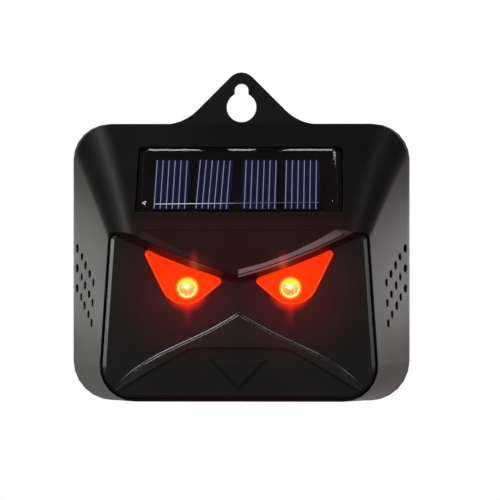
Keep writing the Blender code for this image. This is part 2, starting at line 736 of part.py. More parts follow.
def housing_cuts():
    """Every cut in the housing that opens to the outside."""
    end = BODY_DEPTH + OVERRUN
    rings = [visor_ring(FACE_DEPTH, VISOR_BACK, VISOR_BACK_RISE, VISOR_BACK_RADIUS)]
    rings += [visor_ring(depth, VISOR_LIP, VISOR_LIP_RISE) for depth in (BODY_DEPTH, end)]
    yield loft("visor_cut", rings)
    rings = []
    for depth in (VISOR_FACE, BODY_DEPTH, end):
        share = (depth - VISOR_FACE) / VISOR_FACE_BACK
        apex = VISOR_TOP + (VISOR_LIP - VISOR_TOP) * share + VISOR_LIP_EDGE
        rise = VISOR_TOP_RISE + (VISOR_LIP_RISE - VISOR_TOP_RISE) * share
        bow = VISOR_TOP_BOW + (VISOR_BOW - VISOR_TOP_BOW) * share
        rings.append(visor_ring(depth, apex, rise, bow=bow, limit=BODY_HEIGHT))
    yield loft("brow_cut", rings)
    yield plate("plate_pocket", [plate_outline(GAP)], LEDGE_FRONT, PLATE_FRONT + GAP)
    yield plate("face_opening", [face_opening()], LEDGE_BACK - OVERRUN, LEDGE_FRONT + OVERRUN)
    for side, name in ((-1, "left"), (1, "right")):
        notch = eye_outline(side, EYE_FLANGE + GAP)
        yield plate(f"flange_notch_{name}", [notch], LEDGE_BACK - OVERRUN, LEDGE_FRONT + GAP / 2)
    window = box_outline(WINDOW_WIDTH, WINDOW_HEIGHT, WINDOW_RADIUS)
    yield plate("window_cut", [window], -WINDOW_SINK, OVERRUN, frame=window_frame())
    shelf = -WINDOW_SINK - WINDOW_SHELF - OVERRUN
    yield cylinder("lead_hole", LEAD_HOLE_RADIUS, shelf, OVERRUN, frame=window_frame(), sides=ROUND_SIDES)
    for i, place in enumerate(screw_places()):
        end = COVER_THICK + SCREW_LENGTH - SCREW_SUNK
        end = min(end, TOP_BOSS_END - GAP) if place[1] > 0 else end
        yield cylinder(f"pilot_{i}", SCREW_SHANK + GAP, 0, end, centre=place, sides=ROUND_SIDES)
    for side, name in ((-1, "left"), (1, "right")):
        for i, (depth, height) in enumerate(grille_places()):
            frame = wall_frame(depth, height, side)
            yield cylinder(f"hole_{name}_{i}", HOLE_RADIUS, -WALL - OVERRUN / 2, OVERRUN, frame=frame)


def front_housing():
    depths = [COVER_THICK + GAP, SIDE_BEND, RIM_DEPTH]
    depths += [between(RIM_DEPTH, FACE_DEPTH, k / SKIN_STEPS) for k in range(1, SKIN_STEPS + 1)]
    depths.append(BODY_DEPTH)
    housing = loft("front_housing", [skin_ring(depth) for depth in depths], "black_abs")
    boolean(housing, housing_cavity())
    for cutter in housing_cuts():
        boolean(housing, cutter)
    return housing


# Face plate


def lip_height(x):
    """The height of the ridge over the muzzle: steep at its apex, easing, and steep again at the corners."""
    share = abs(x) / PLATE_FOOT_HALF
    fall = sum(part * share**power for power, part in enumerate(LIP_FALL_SHARES, 1))
    return LIP_APEX + (PLATE_FOOT - LIP_APEX) * fall


def fold_height(x):
    """The height of the crease below the lip: level in the middle, then running down to the corners."""
    share = max(0, abs(x) - FOLD_HALF) / (PLATE_FOOT_HALF - FOLD_HALF)
    fall = sum(part * share**power for power, part in enumerate(FOLD_FALL_SHARES, 1))
    return FOLD_TOP + (PLATE_FOOT - FOLD_TOP) * fall


def muzzle_section(x):
    """The muzzle's profile at one place across the face, from its buried back round to the front."""
    ridge = lip_height(x)
    fold = min(fold_height(x), ridge - LIP_EDGE - LIP_LAND - FOLD_EDGE)
    crest = PLATE_FRONT + between(LIP_RISE, FOLD_RISE, (ridge - fold) / (LIP_APEX - FOLD_TOP))
    low = min(PLATE_FOOT - OVERRUN, fold - OVERRUN)
    chin = PLATE_FRONT + FOLD_RISE - FOLD_SINK
    back = PLATE_FRONT - PLATE_THICK / 2
    profile = [
        (back, ridge),
        (PLATE_FRONT, ridge),
        (PLATE_FRONT + LIP_RISE / 2, ridge - LIP_EDGE / 2),
        (PLATE_FRONT + LIP_RISE / 2, ridge - LIP_EDGE / 2 - LIP_LAND),
        (PLATE_FRONT + LIP_RISE, ridge - LIP_EDGE - LIP_LAND),
        (crest, fold),
        (min(chin, crest - LIP_EDGE), fold - FOLD_EDGE),
        (min(chin, crest - LIP_EDGE), low),
        (back, low),
    ]
    return [placed(x, depth, z) for depth, z in profile]


def muzzle():
    """The raised lip and chin, lofted across the face and trimmed to the plate."""
    half = PLATE_FOOT_HALF + OVERRUN
    places = [half * (2 * k / MUZZLE_STEPS - 1) for k in range(MUZZLE_STEPS + 1)]
    raised = loft("muzzle", [muzzle_section(x) for x in places])
    trim = plate("muzzle_trim", [plate_outline(-PLATE_EDGE)], PLATE_BACK - OVERRUN, BODY_DEPTH)
    return boolean(raised, trim, "INTERSECT")


def nose():
    """The inverted triangle on the chin, with sloping edges and its two upper corners cut."""
    chin = PLATE_FRONT + FOLD_RISE - FOLD_SINK
    flank = math.hypot(NOSE_HALF, NOSE_DROP)
    cut_x, cut_z = NOSE_CORNER * NOSE_HALF / flank, NOSE_CORNER * NOSE_DROP / flank
    rings = []
    for depth, inset in ((chin - NOSE_RISE, 0), (chin, 0), (chin + NOSE_RISE, NOSE_EDGE)):
        top = NOSE_TOP - inset
        low = NOSE_TOP - NOSE_DROP + inset * flank / NOSE_HALF
        half = NOSE_HALF * (top - low) / NOSE_DROP
        right = [(half - cut_x, top - cut_z), (half - NOSE_CORNER, top)]
        outline = [(NOSE_CORNER - half, top), (cut_x - half, top - cut_z), (0, low), *right]
        rings.append([placed(x, depth, z) for x, z in outline])
    return loft("nose", rings)


def eye_outline(side, grow=0):
    """An eye's outline: an upper edge along the plate's own, a pointed inner end and a round lower end."""
    slope = PLATE_TOP_SLOPE * EYE_SLOPE_SHARE
    upper = [(x, PLATE_NOTCH + x * slope - EYE_BELOW_EDGE) for x in (EYE_OUTER_X, EYE_INNER_X)]
    lower = (PLATE_TOP_HALF * EYE_LOWER_SHARE, PLATE_NOTCH - NOTCH_TO_FOOT * EYE_LOWER_DROP_SHARE)
    outline = grown([*upper, lower], [EYE_CORNER_RADIUS, EYE_CORNER_RADIUS, EYE_LOWER_RADIUS], grow)
    return [(side * x, z) for x, z in outline][:: int(side)]


def face_plate():
    """The mask: a plate with its relief, four posts for the circuit board and two eye holes."""
    face = plate("face_plate", [plate_outline()], PLATE_BACK, PLATE_FRONT, "black_abs")
    round_edges(face, PLATE_EDGE)
    boolean(face, muzzle(), "UNION")
    boolean(face, nose(), "UNION")
    for i, place in enumerate(POST_PLACES):
        low, high = BOARD_FRONT + GAP, PLATE_BACK + GAP
        boolean(face, cylinder(f"post_{i}", POST_RADIUS, low, high, centre=place, sides=ROUND_SIDES), "UNION")
    for i, place in enumerate(POST_PLACES):
        low, high = BOARD_BACK, PLATE_BACK - GAP
        boolean(face, cylinder(f"post_pilot_{i}", BOARD_SCREW_SHANK + GAP, low, high, centre=place))
    for side, name in ((-1, "left"), (1, "right")):
        boolean(face, plate(f"eye_cut_{name}", [eye_outline(side, GAP)], PLATE_BACK - OVERRUN, BODY_DEPTH))
    return face


def eye_lens(side, name):
    """A lens set from behind: its flange rests on the plate's back, and the lamp stands in its hole."""
    hole = circle_outline(LED_RADIUS + GAP, (side * LED_X, LED_Z), ROUND_SIDES)
    front = PLATE_BACK - GAP
    back = front - EYE_FLANGE_THICK
    lens = plate(name, [eye_outline(side)], (front + back) / 2, PLATE_FRONT + EYE_PROUD, "orange_lens")
    round_edges(lens, EYE_ROUND)
    flange = plate(name + "_flange", [eye_outline(side, EYE_FLANGE)], back, front)
    boolean(lens, flange, "UNION")
    return boolean(lens, plate(name + "_hole", [hole], BOARD_FRONT, BODY_DEPTH))


def led(side, name):
    """A round lamp: flange, barrel and dome, with two pins through the board."""
    base = BOARD_FRONT + GAP
    shoulder = LED_TIP - LED_RADIUS
    quarter = [QUARTER_TURN * k / CORNER_STEPS for k in range(CORNER_STEPS + 1)]
    profile = [(LED_RADIUS * math.sin(a), shoulder + LED_RADIUS * math.cos(a)) for a in quarter]
    profile += [
        (LED_RADIUS, base + LED_FLANGE_THICK),
        (LED_FLANGE_RADIUS, base + LED_FLANGE_THICK),
        (LED_FLANGE_RADIUS, base),
        (0, base),
    ]
    lamp = turned(name, profile, "led_epoxy", centre=(side * LED_X, LED_Z))
    for k, hand in enumerate((-1, 1)):
        centre = (side * LED_X + hand * LED_PIN_PITCH / 2, LED_Z)
        low = base - LED_PIN_LENGTH
        pin = cylinder(f"{name}_pin_{k}", LED_PIN_GAUGE, low, base + LED_FLANGE_THICK / 2, centre=centre)
        boolean(lamp, pin, "UNION")
    return lamp


# Solar panel


def solar_panel():
    """Pad, board, cells and resin, stacked in the forehead's window."""
    frame = window_frame()
    width, height = WINDOW_WIDTH - 2 * GAP, WINDOW_HEIGHT - 2 * GAP
    level = GAP - WINDOW_SINK
    hole = circle_outline(LEAD_HOLE_RADIUS, sides=ROUND_SIDES)
    pad_outline = box_outline(width - 2 * RESIN_SKIRT, height - 2 * RESIN_SKIRT, WINDOW_RADIUS)
    plate("panel_pad", [pad_outline, hole], level, level + PAD_THICK, "foam", frame)
    level += PAD_THICK + GAP
    outline = box_outline(width, height, WINDOW_RADIUS)
    plate("solar_board", [outline], level, level + SOLAR_BOARD_THICK, "dark_board", frame)
    level += SOLAR_BOARD_THICK + GAP
    cell_foot = CELL_ABOVE_FOOT + GAP + RESIN_SKIRT - height / 2
    cell_top = height / 2 - RESIN_SKIRT - GAP - CELL_BELOW_TOP
    cell_y = (cell_foot + cell_top) / 2
    for i, (share, tilt) in enumerate(zip(CELL_CENTRE_SHARES, CELL_TILTS_DEG)):
        turn = Matrix.Rotation(math.radians(-tilt), 4, "Z")
        seat = frame @ Matrix.Translation((share * WINDOW_WIDTH, cell_y, 0)) @ turn
        cell = box_outline(CELL_WIDTH, cell_top - cell_foot)
        plate(f"solar_cell_{i + 1}", [cell], level, level + CELL_THICK, "silicon", seat)
    resin = plate("panel_resin", [outline], level, RESIN_PROUD, "clear_resin", frame)
    round_edges(resin, RESIN_ROUND)
    pocket = box_outline(width - 2 * RESIN_SKIRT, height - 2 * RESIN_SKIRT)
    top = level + CELL_THICK + GAP
    return boolean(resin, plate("cell_pocket", [pocket], level - OVERRUN, top, frame=frame))


# Back cover


def body_outline(inset=0, steps=CORNER_STEPS):
    half, low, high = HALF_WIDTH - inset, foot(0) + inset, HALF_HEIGHT - inset
    corners = [(-half, low), (half, low), (half, high), (-half, high)]
    radii = [FOOT_RADIUS - inset, FOOT_RADIUS - inset, TOP_RADIUS - inset, TOP_RADIUS - inset]
    return rounded(corners, [max(LEAST_RADIUS, r) for r in radii], steps)


def cover_outline():
    """The cover's outline with its hanging tab, whose straight flanks flare into the top edge."""
    top, low = HALF_HEIGHT, foot(0)
    corners = [(-HALF_WIDTH, low), (HALF_WIDTH, low), (HALF_WIDTH, top), (TAB_HALF, top)]
    corners += [(0, top + TAB_PEAK), (-TAB_HALF, top), (-HALF_WIDTH, top)]
    radii = [FOOT_RADIUS, FOOT_RADIUS, TOP_RADIUS, TAB_FLARE_RADIUS]
    radii += [TAB_APEX_RADIUS, TAB_FLARE_RADIUS, TOP_RADIUS]
    return rounded(corners, radii)


def keyhole_outline():
    """A round hole for a screw's head, with a slot above it for the shank."""
    centre = HALF_HEIGHT + KEYHOLE_RISE
    meet = math.asin(KEYHOLE_SLOT_RADIUS / KEYHOLE_RADIUS)
    start, sweep = QUARTER_TURN + meet, math.tau - 2 * meet
    points = []
    for k in range(ROUND_SIDES + 1):
        angle = start + sweep * k / ROUND_SIDES
        points.append((KEYHOLE_RADIUS * math.cos(angle), centre + KEYHOLE_RADIUS * math.sin(angle)))
    for k in range(CORNER_STEPS * 2 + 1):
        angle = math.pi * k / (CORNER_STEPS * 2)
        z = centre + KEYHOLE_SLOT_RISE + KEYHOLE_SLOT_RADIUS * math.sin(angle)
        points.append((KEYHOLE_SLOT_RADIUS * math.cos(angle), z))
    return points


def battery_frame():
    """A frame on the battery's axis, with Z from its flat end to its nub."""
    return Matrix.Translation(placed(0, BATTERY_DEPTH, BATTERY_Z)) @ Matrix.Rotation(QUARTER_TURN, 4, "Y")


def cradle_ends():
    """Where the cradle's two end walls stand: past the spring, and past the nub's contact."""
    left = -CELL_LENGTH / 2 - SPRING_LENGTH - CONTACT_THICK - 3 * GAP
    right = CELL_LENGTH / 2 + CONTACT_THICK + 2 * GAP
    return left - END_WALL / 2, right + END_WALL / 2


def cradle():
    """Ribs that hold the battery off the cover, and the end walls behind its contacts."""
    height = 2 * CELL_RADIUS
    radius, frame = CELL_RADIUS + GAP, battery_frame()
    for i, x in enumerate((-CRADLE_RIB_X, CRADLE_RIB_X)):
        outline = box_outline(CRADLE_RIB, height, centre=(x, BATTERY_Z))
        rib = plate(f"cradle_rib_{i}", [outline], COVER_THICK - GAP, BATTERY_DEPTH)
        trough = cylinder(f"trough_{i}", radius, -CELL_LENGTH, CELL_LENGTH, frame=frame, sides=ROUND_SIDES)
        yield boolean(rib, trough)
    for i, x in enumerate(cradle_ends()):
        outline = box_outline(END_WALL, height, centre=(x, BATTERY_Z))
        yield plate(f"cradle_end_{i}", [outline], COVER_THICK - GAP, BATTERY_DEPTH + CONTACT_HALF)


def cover_bosses():
    """What stands on the cover's inner face: its lip, the battery's cradle and the switch's rails."""
    inset = WALL * SIDE_SECANT + 2 * GAP
    ring = [body_outline(inset), body_outline(inset + LIP_WALL)]
    lip = plate("cover_lip", ring, COVER_THICK - GAP, COVER_THICK + LIP_HEIGHT)
    for i, place in enumerate(screw_places()):
        reach = COVER_THICK + LIP_HEIGHT + OVERRUN
        boolean(lip, cylinder(f"lip_gap_{i}", BOSS_RADIUS + GAP, 0, reach, centre=place, sides=ROUND_SIDES))
    yield lip
    yield from cradle()
    centre = (SWITCH_X, SWITCH_Z)
    clear = 2 * GAP
    inner = box_outline(SWITCH_LENGTH + clear, SWITCH_HEIGHT + clear, centre=centre)
    clear += 2 * SWITCH_RAIL
    outer = box_outline(SWITCH_LENGTH + clear, SWITCH_HEIGHT + clear, centre=centre)
    yield plate("switch_rails", [outer, inner], COVER_THICK - GAP, COVER_THICK + SWITCH_RAIL_DEPTH)


def cover_cuts():
    """The seal's groove, the countersinks, and the dished slot for the switch's knob."""
    groove = [body_outline(WALL / 2 - SEAL_WIDTH / 2 - GAP), body_outline(WALL / 2 + SEAL_WIDTH / 2 + GAP)]
    yield plate("seal_groove", groove, COVER_THICK - SEAL_THICK - GAP, COVER_THICK + OVERRUN)
    for i, place in enumerate(screw_places()):
        wide, narrow = SCREW_HEAD + GAP, SCREW_SHANK + GAP
        seat = SCREW_SUNK + GAP
        profile = [
            (0, COVER_THICK + OVERRUN),
            (narrow, COVER_THICK + OVERRUN),
            (narrow, SCREW_HEAD_DEPTH + seat),
            (wide, seat),
            (wide, -OVERRUN),
            (0, -OVERRUN),
        ]
        yield turned(f"countersink_{i}", profile, centre=place, steps=HOLE_SIDES * 2)
    centre = (SWITCH_X, SWITCH_Z)
    dish = box_outline(DISH_LENGTH, DISH_HEIGHT, DISH_SINK, centre)
    yield plate("switch_dish", [dish], -OVERRUN, DISH_SINK)
    slot_length = KNOB_LENGTH + SWITCH_TRAVEL + 2 * GAP
    slot_centre = (SWITCH_X - SWITCH_TRAVEL / 2, SWITCH_Z)
    slot = box_outline(slot_length, KNOB_HEIGHT + 2 * GAP, centre=slot_centre)
    yield plate("switch_slot", [slot], -OVERRUN, COVER_THICK + OVERRUN)


def back_cover():
    """The flat cover with its hanging tab, and all that stands on it or is cut in it."""
    cover = plate("back_cover", [cover_outline(), keyhole_outline()], 0, COVER_THICK, "black_abs_back")
    for piece in cover_bosses():
        boolean(cover, piece, "UNION")
    for cutter in cover_cuts():
        boolean(cover, cutter)
    return cover


def cover_seal():
    """A rubber ring in the cover's groove, under the housing's back edge."""
    ring = [body_outline(WALL / 2 - SEAL_WIDTH / 2), body_outline(WALL / 2 + SEAL_WIDTH / 2)]
    return plate("cover_seal", ring, COVER_THICK - SEAL_THICK, COVER_THICK, "rubber")


def cross_recess(target, head, depth, length, width, centre):
    """Cuts a cross for a driver into a screw's head, from the back."""
    for k, size in enumerate(((length, width), (width, length))):
        arm = box_outline(*size, centre=centre)
        boolean(target, plate(f"{target.name}_cross_{k}", [arm], head - OVERRUN, head + depth))


def cover_screw(name, place):
    """A countersunk screw driven in from the back."""
    head, low = SCREW_SUNK, SCREW_SUNK + SCREW_HEAD_DEPTH
    length = SCREW_LENGTH if place[1] < 0 else TOP_BOSS_END - COVER_THICK + SCREW_SUNK
    tip = head + length - 2 * GAP
    profile = [
        (0, tip),
        (SCREW_SHANK / 2, tip),
        (SCREW_SHANK, tip - SCREW_SHANK),
        (SCREW_SHANK, low),
        (SCREW_HEAD, head),
        (0, head),
    ]
    screw = turned(name, profile, "steel", centre=place)
    cross_recess(screw, head, CROSS_DEPTH, CROSS_LENGTH, CROSS_WIDTH, place)
    return screw


# Circuit board and what it carries


def circuit_board():
    """The board behind the face, with holes for its screws and the lamps' pins."""
    middle = (BOARD_TOP + BOARD_FOOT) / 2
    holes = [circle_outline(BOARD_SCREW_SHANK + GAP, place) for place in POST_PLACES]
    for side in (-1, 1):
        for hand in (-1, 1):
            centre = (side * LED_X + hand * LED_PIN_PITCH / 2, LED_Z)
            holes.append(circle_outline(LED_PIN_GAUGE + GAP, centre))
    outline = box_outline(BOARD_WIDTH, BOARD_TOP - BOARD_FOOT, BOARD_RADIUS, (0, middle))
    return plate("circuit_board", [outline, *holes], BOARD_BACK, BOARD_FRONT, "green_board")


def board_screw(name, place):
    """A pan-head screw from the board's back into a post of the face plate."""
    under = BOARD_BACK - GAP
    head = under - BOARD_SCREW_HEAD_THICK
    profile = [
        (0, under + BOARD_SCREW_LENGTH),
        (BOARD_SCREW_SHANK, under + BOARD_SCREW_LENGTH - BOARD_SCREW_SHANK),
        (BOARD_SCREW_SHANK, under),
        (BOARD_SCREW_HEAD, under),
        (BOARD_SCREW_HEAD, under - BOARD_SCREW_HEAD_THICK / 2),
        (BOARD_SCREW_HEAD - BOARD_SCREW_HEAD_THICK / 2, head),
        (0, head),
    ]
    return turned(name, profile, "steel", centre=place, steps=ROUND_SIDES // 2)


def chip():
    """The controller: a moulded package with a row of legs down each side."""
    width, height, thick = CHIP_SIZE
    high = BOARD_BACK - GAP
    outline = box_outline(width, height, centre=CHIP_PLACE)
    body = plate("controller_chip", [outline], high - thick, high, "chip_plastic")
    round_edges(body, GAP, 1)
    for k in range(CHIP_LEGS):
        x = CHIP_PLACE[0] + (k - (CHIP_LEGS - 1) / 2) * CHIP_LEG_PITCH
        pair = box_outline(CHIP_LEG_WIDTH, height + 2 * CHIP_LEG_REACH, centre=(x, CHIP_PLACE[1]))
        boolean(body, plate(f"chip_legs_{k}", [pair], high - thick / 2, high + GAP / 2), "UNION")
    return body


def coil():
    """The inductor: a waisted drum."""
    high = BOARD_BACK - GAP
    low = high - COIL_HEIGHT
    profile = [
        (0, high),
        (COIL_RADIUS, high),
        (COIL_RADIUS, high - COIL_FLANGE),
        (COIL_WAIST, high - COIL_FLANGE),
        (COIL_WAIST, low + COIL_FLANGE),
        (COIL_RADIUS, low + COIL_FLANGE),
        (COIL_RADIUS, low),
        (0, low),
    ]
    return turned("boost_coil", profile, "chip_plastic", centre=COIL_PLACE)


def capacitor():
    """A round can standing on the board's back."""
    high = BOARD_BACK - GAP
    low = high - CAPACITOR_HEIGHT
    profile = [
        (0, high),
        (CAPACITOR_RADIUS, high),
        (CAPACITOR_RADIUS, low + CAPACITOR_ROUND),
        (CAPACITOR_RADIUS - CAPACITOR_ROUND, low),
        (0, low),
    ]
    return turned("capacitor", profile, "aluminium", centre=CAPACITOR_PLACE)


# Battery and its contacts


def battery():
    """A round cell with its nub."""
    end = CELL_LENGTH / 2
    shoulder = end - NUB_LENGTH
    profile = [
        (0, end),
        (NUB_RADIUS, end),
        (NUB_RADIUS, shoulder),
        (CELL_RADIUS - GAP, shoulder),
        (CELL_RADIUS, shoulder - GAP),
        (CELL_RADIUS, GAP - end),
        (CELL_RADIUS - GAP, -end),
        (0, -end),
    ]
    return turned("battery_cell", profile, "cell_wrap", battery_frame(), steps=ROUND_SIDES)


def contacts():
    """The flat contact at the nub, and the plate and spring at the other end."""
    size = box_outline(2 * CONTACT_HALF, 2 * CONTACT_HALF, GAP)
    frame = battery_frame()
    plus = CELL_LENGTH / 2 + GAP
    plate("battery_contact_plus", [size], plus, plus + CONTACT_THICK, "steel", frame)
    minus = -CELL_LENGTH / 2 - SPRING_LENGTH - 2 * GAP
    plate("battery_contact_minus", [size], minus - CONTACT_THICK, minus, "steel", frame)
    low, high = minus + GAP + SPRING_WIRE, -CELL_LENGTH / 2 - GAP - SPRING_WIRE
    steps = SPRING_TURNS * SPRING_POINTS
    points = []
    for k in range(steps + 1):
        angle = math.tau * k / SPRING_POINTS
        radius = between(SPRING_RADIUS, SPRING_RADIUS / 2, k / steps)
        local = Vector((radius * math.cos(angle), radius * math.sin(angle), between(low, high, k / steps)))
        points.append(frame @ local)
    wire("battery_spring", points, SPRING_WIRE, "steel")


# Transducers


def transducer(side, name):
    """An ultrasonic disc in its can behind a foam ring, flat against the side wall."""
    frame = wall_frame(*grille_middle(), side)
    level = -WALL - TRANSDUCER_GAP
    inner = TRANSDUCER_RADIUS - FOAM_WIDTH
    low = level - FOAM_THICK
    ring = [(TRANSDUCER_RADIUS, level), (TRANSDUCER_RADIUS, low), (inner, low), (inner, level)]
    turned(f"transducer_foam_{name}", ring, "foam", frame, steps=ROUND_SIDES)
    top = low - GAP
    profile = [
        (0, top),
        (TRANSDUCER_RADIUS, top),
        (TRANSDUCER_RADIUS, top - TRANSDUCER_STEP),
        (TRANSDUCER_BACK_RADIUS, top - TRANSDUCER_STEP),
        (TRANSDUCER_BACK_RADIUS, top - TRANSDUCER_THICK),
        (0, top - TRANSDUCER_THICK),
    ]
    turned(f"transducer_{name}", profile, "aluminium", frame, steps=ROUND_SIDES)
    return frame @ Vector((0, 0, top - TRANSDUCER_THICK - GAP))


# Switch


def switch():
    """A slide switch behind the cover, with its knob in the slot."""
    centre = (SWITCH_X, SWITCH_Z)
    outline = box_outline(SWITCH_LENGTH, SWITCH_HEIGHT, centre=centre)
    base = COVER_THICK + GAP
    body = plate("switch_body", [outline], base, base + SWITCH_BODY_DEPTH, "steel")
    run = KNOB_FOOT_LENGTH + SWITCH_TRAVEL + 2 * GAP
    track = box_outline(run, KNOB_FOOT_HEIGHT + 2 * GAP, centre=(SWITCH_X - SWITCH_TRAVEL / 2, SWITCH_Z))
    boolean(body, plate("switch_track", [track], base - OVERRUN, SWITCH_FRONT + GAP))
    foot_outline = box_outline(KNOB_FOOT_LENGTH, KNOB_FOOT_HEIGHT)
    rest = FRONT.copy()
    rest.translation = placed(SWITCH_X, 0, SWITCH_Z)
    slider = plate("switch_slider", [foot_outline], base, base + KNOB_FOOT, "switch_plastic", rest)
    knob = plate("knob", [box_outline(KNOB_LENGTH, KNOB_HEIGHT)], KNOB_SUNK, base + KNOB_FOOT / 2, frame=rest)
    boolean(slider, knob, "UNION")
    for k in (-1, 0, 1):
        groove = box_outline(KNOB_GROOVE, KNOB_HEIGHT + OVERRUN, centre=(k * KNOB_GROOVE * 2, 0))
        low, high = -OVERRUN, KNOB_SUNK + KNOB_GROOVE
        boolean(slider, plate(f"knob_groove_{k + 1}", [groove], low, high, frame=rest))
    return slider


# Leads


def leads(left_back, right_back):
    """Every lead runs from its piece to the circuit board's back, clear of what it passes."""
    panel = window_frame()
    start = GAP - WINDOW_SINK - 2 * GAP
    below = -WINDOW_SINK - WINDOW_SHELF - OVERRUN
    board = BOARD_BACK - GAP
    back = Vector((0, OVERRUN, 0))
    for side, colour in ((-1, "red_wire"), (1, "black_wire")):
        x = side * LEAD_HALF_PITCH
        top = panel @ Vector((x, 0, start))
        under = panel @ Vector((x, 0, below))
        end = placed(x * 2, board, BOARD_TOP - OVERRUN)
        slack = placed(x * 2, board - 2 * OVERRUN, BROW_HEIGHT)
        route = [top, (top + under) / 2, under, slack, end + back, end]
        tube(f"solar_lead_{colour.split('_')[0]}", route, LEAD_RADIUS, colour)
    low, high = cradle_ends()
    for x, hand, colour in ((low, -1, "black_wire"), (high, 1, "red_wire")):
        rise = BATTERY_Z + CELL_RADIUS
        inner = x - hand * (END_WALL / 2 + GAP + LEAD_RADIUS)
        begin = placed(inner, BATTERY_DEPTH, BATTERY_Z + CONTACT_HALF + GAP + LEAD_RADIUS)
        over = placed(inner, BATTERY_DEPTH + OVERRUN / 2, rise + OVERRUN / 2)
        end = placed(inner - hand * 2 * OVERRUN, board, rise + OVERRUN)
        route = [begin, over, end + back, end]
        tube(f"battery_lead_{colour.split('_')[0]}", route, LEAD_RADIUS, colour)
    for name, begin in (("left", left_back), ("right", right_back)):
        hand = math.copysign(1, begin.x)
        end = placed(hand * (BOARD_WIDTH / 2 - 2 * OVERRUN), board, begin.z)
        route = [begin, (begin + end + back) / 2, end + back, end]
        tube(f"transducer_lead_{name}", route, LEAD_RADIUS, "black_wire")
    begin = placed(SWITCH_X, COVER_THICK + SWITCH_BODY_DEPTH + 2 * GAP, SWITCH_Z)
    end = placed(SWITCH_X - 2 * OVERRUN, board, BOARD_TOP - 2 * OVERRUN)
    route = [begin, begin - back, end + back, end]
    tube("switch_lead", route, LEAD_RADIUS, "red_wire")


def main():
    clear_scene()
    front_housing()
    face_plate()
    eye_lens(-1, "eye_lens_left")
    eye_lens(1, "eye_lens_right")
    led(-1, "led_left")
    led(1, "led_right")
    solar_panel()
    back_cover()
    cover_seal()
    for i, place in enumerate(screw_places()):
        cover_screw(f"cover_screw_{i + 1}", place)
    circuit_board()
    for i, place in enumerate(POST_PLACES):
        board_screw(f"board_screw_{i + 1}", place)
    chip()
    coil()
    capacitor()
    battery()
    contacts()
    left_back = transducer(-1, "left")
    right_back = transducer(1, "right")
    switch()
    leads(left_back, right_back)


main()
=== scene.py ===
"""The finished look of a solar pest repeller: moulded shell, mask, lamps and solar panel."""

import math

import bpy
from mathutils import Matrix, Vector


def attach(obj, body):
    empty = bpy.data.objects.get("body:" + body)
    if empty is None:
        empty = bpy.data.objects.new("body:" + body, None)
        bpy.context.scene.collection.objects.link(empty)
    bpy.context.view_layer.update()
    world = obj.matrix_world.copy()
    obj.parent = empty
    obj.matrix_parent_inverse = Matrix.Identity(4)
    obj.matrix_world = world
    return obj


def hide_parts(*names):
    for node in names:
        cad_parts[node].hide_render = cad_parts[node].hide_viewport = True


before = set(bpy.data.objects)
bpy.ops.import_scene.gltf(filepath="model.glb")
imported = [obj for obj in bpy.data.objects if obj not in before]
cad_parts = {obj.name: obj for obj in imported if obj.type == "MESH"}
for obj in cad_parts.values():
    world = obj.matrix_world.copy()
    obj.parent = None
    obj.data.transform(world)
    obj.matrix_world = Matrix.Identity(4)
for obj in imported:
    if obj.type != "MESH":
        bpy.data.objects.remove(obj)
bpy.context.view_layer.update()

MM = 0.001

# The camera and the middle of its view
CAMERA_PLACE = (0.0175, -0.700, 0.0031)
CAMERA_AIM = (0.0021, 0, 0.0031)
CAMERA_LENS_MM = 199.6
CAMERA_NEAR = 0.01
SENSOR_MM = 36

# Sizes of the CAD model that the new pieces follow
HALF_WIDTH = 42.25 * MM
HALF_HEIGHT = 34.75 * MM
BODY_DEPTH = 32 * MM
COVER_THICK = 2.4 * MM
GAP = 0.3 * MM
SIDE_BEND = 3.5 * MM
RIM_DEPTH = 5 * MM
FACE_DEPTH = 27.9 * MM
VISOR_FACE = 31 * MM
BROW_HEIGHT = 8 * MM
TOP_RADIUS = 9 * MM
BROW_RADIUS = 5.5 * MM
FOOT_RADIUS = 10 * MM
FACE_FOOT_RADIUS = 8.3 * MM
RIM_WIDTH = 0.25 * MM
RIM_FOOT = 0.5 * MM
PLATE_TOP = 7.05 * MM
PLATE_FOOT = -32.9 * MM
PLATE_TOP_HALF = 31.14 * MM
PLATE_FOOT_HALF = 33.8 * MM
PLATE_FRONT = 28.5 * MM
LIP_APEX = -11.8 * MM
LIP_RISE = 0.9 * MM
LIP_EDGE = 0.4 * MM
LIP_LAND = 0.35 * MM
LIP_FALL_SHARES = (1.053, -0.556, -0.137, 0.726)
LED_X = 12.506 * MM
LED_Z = -6.10 * MM
LED_RADIUS = 2.5 * MM
LED_TIP = 30.15 * MM
LED_FLANGE_RADIUS = 2.9 * MM
LED_FLANGE_THICK = 1 * MM
LED_BASE = 21.55 * MM
WINDOW_INSET = 5.79 * MM
WINDOW_WIDTH = 2 * (PLATE_TOP_HALF - WINDOW_INSET)
WINDOW_HEIGHT = 23 * MM
WINDOW_ABOVE_BROW = 6.1 * MM
RESIN_FOOT = -0.6 * MM
RESIN_PROUD = 1 * MM
RESIN_SKIRT = 0.8 * MM
CELL_THICK = 0.3 * MM
SLEEVE_HALF = 21.2 * MM

ROOF_RATIO = (HALF_HEIGHT - BROW_HEIGHT) / (VISOR_FACE - RIM_DEPTH)
FLARE_RATIO = (PLATE_FOOT_HALF - PLATE_TOP_HALF) / (PLATE_TOP - PLATE_FOOT)

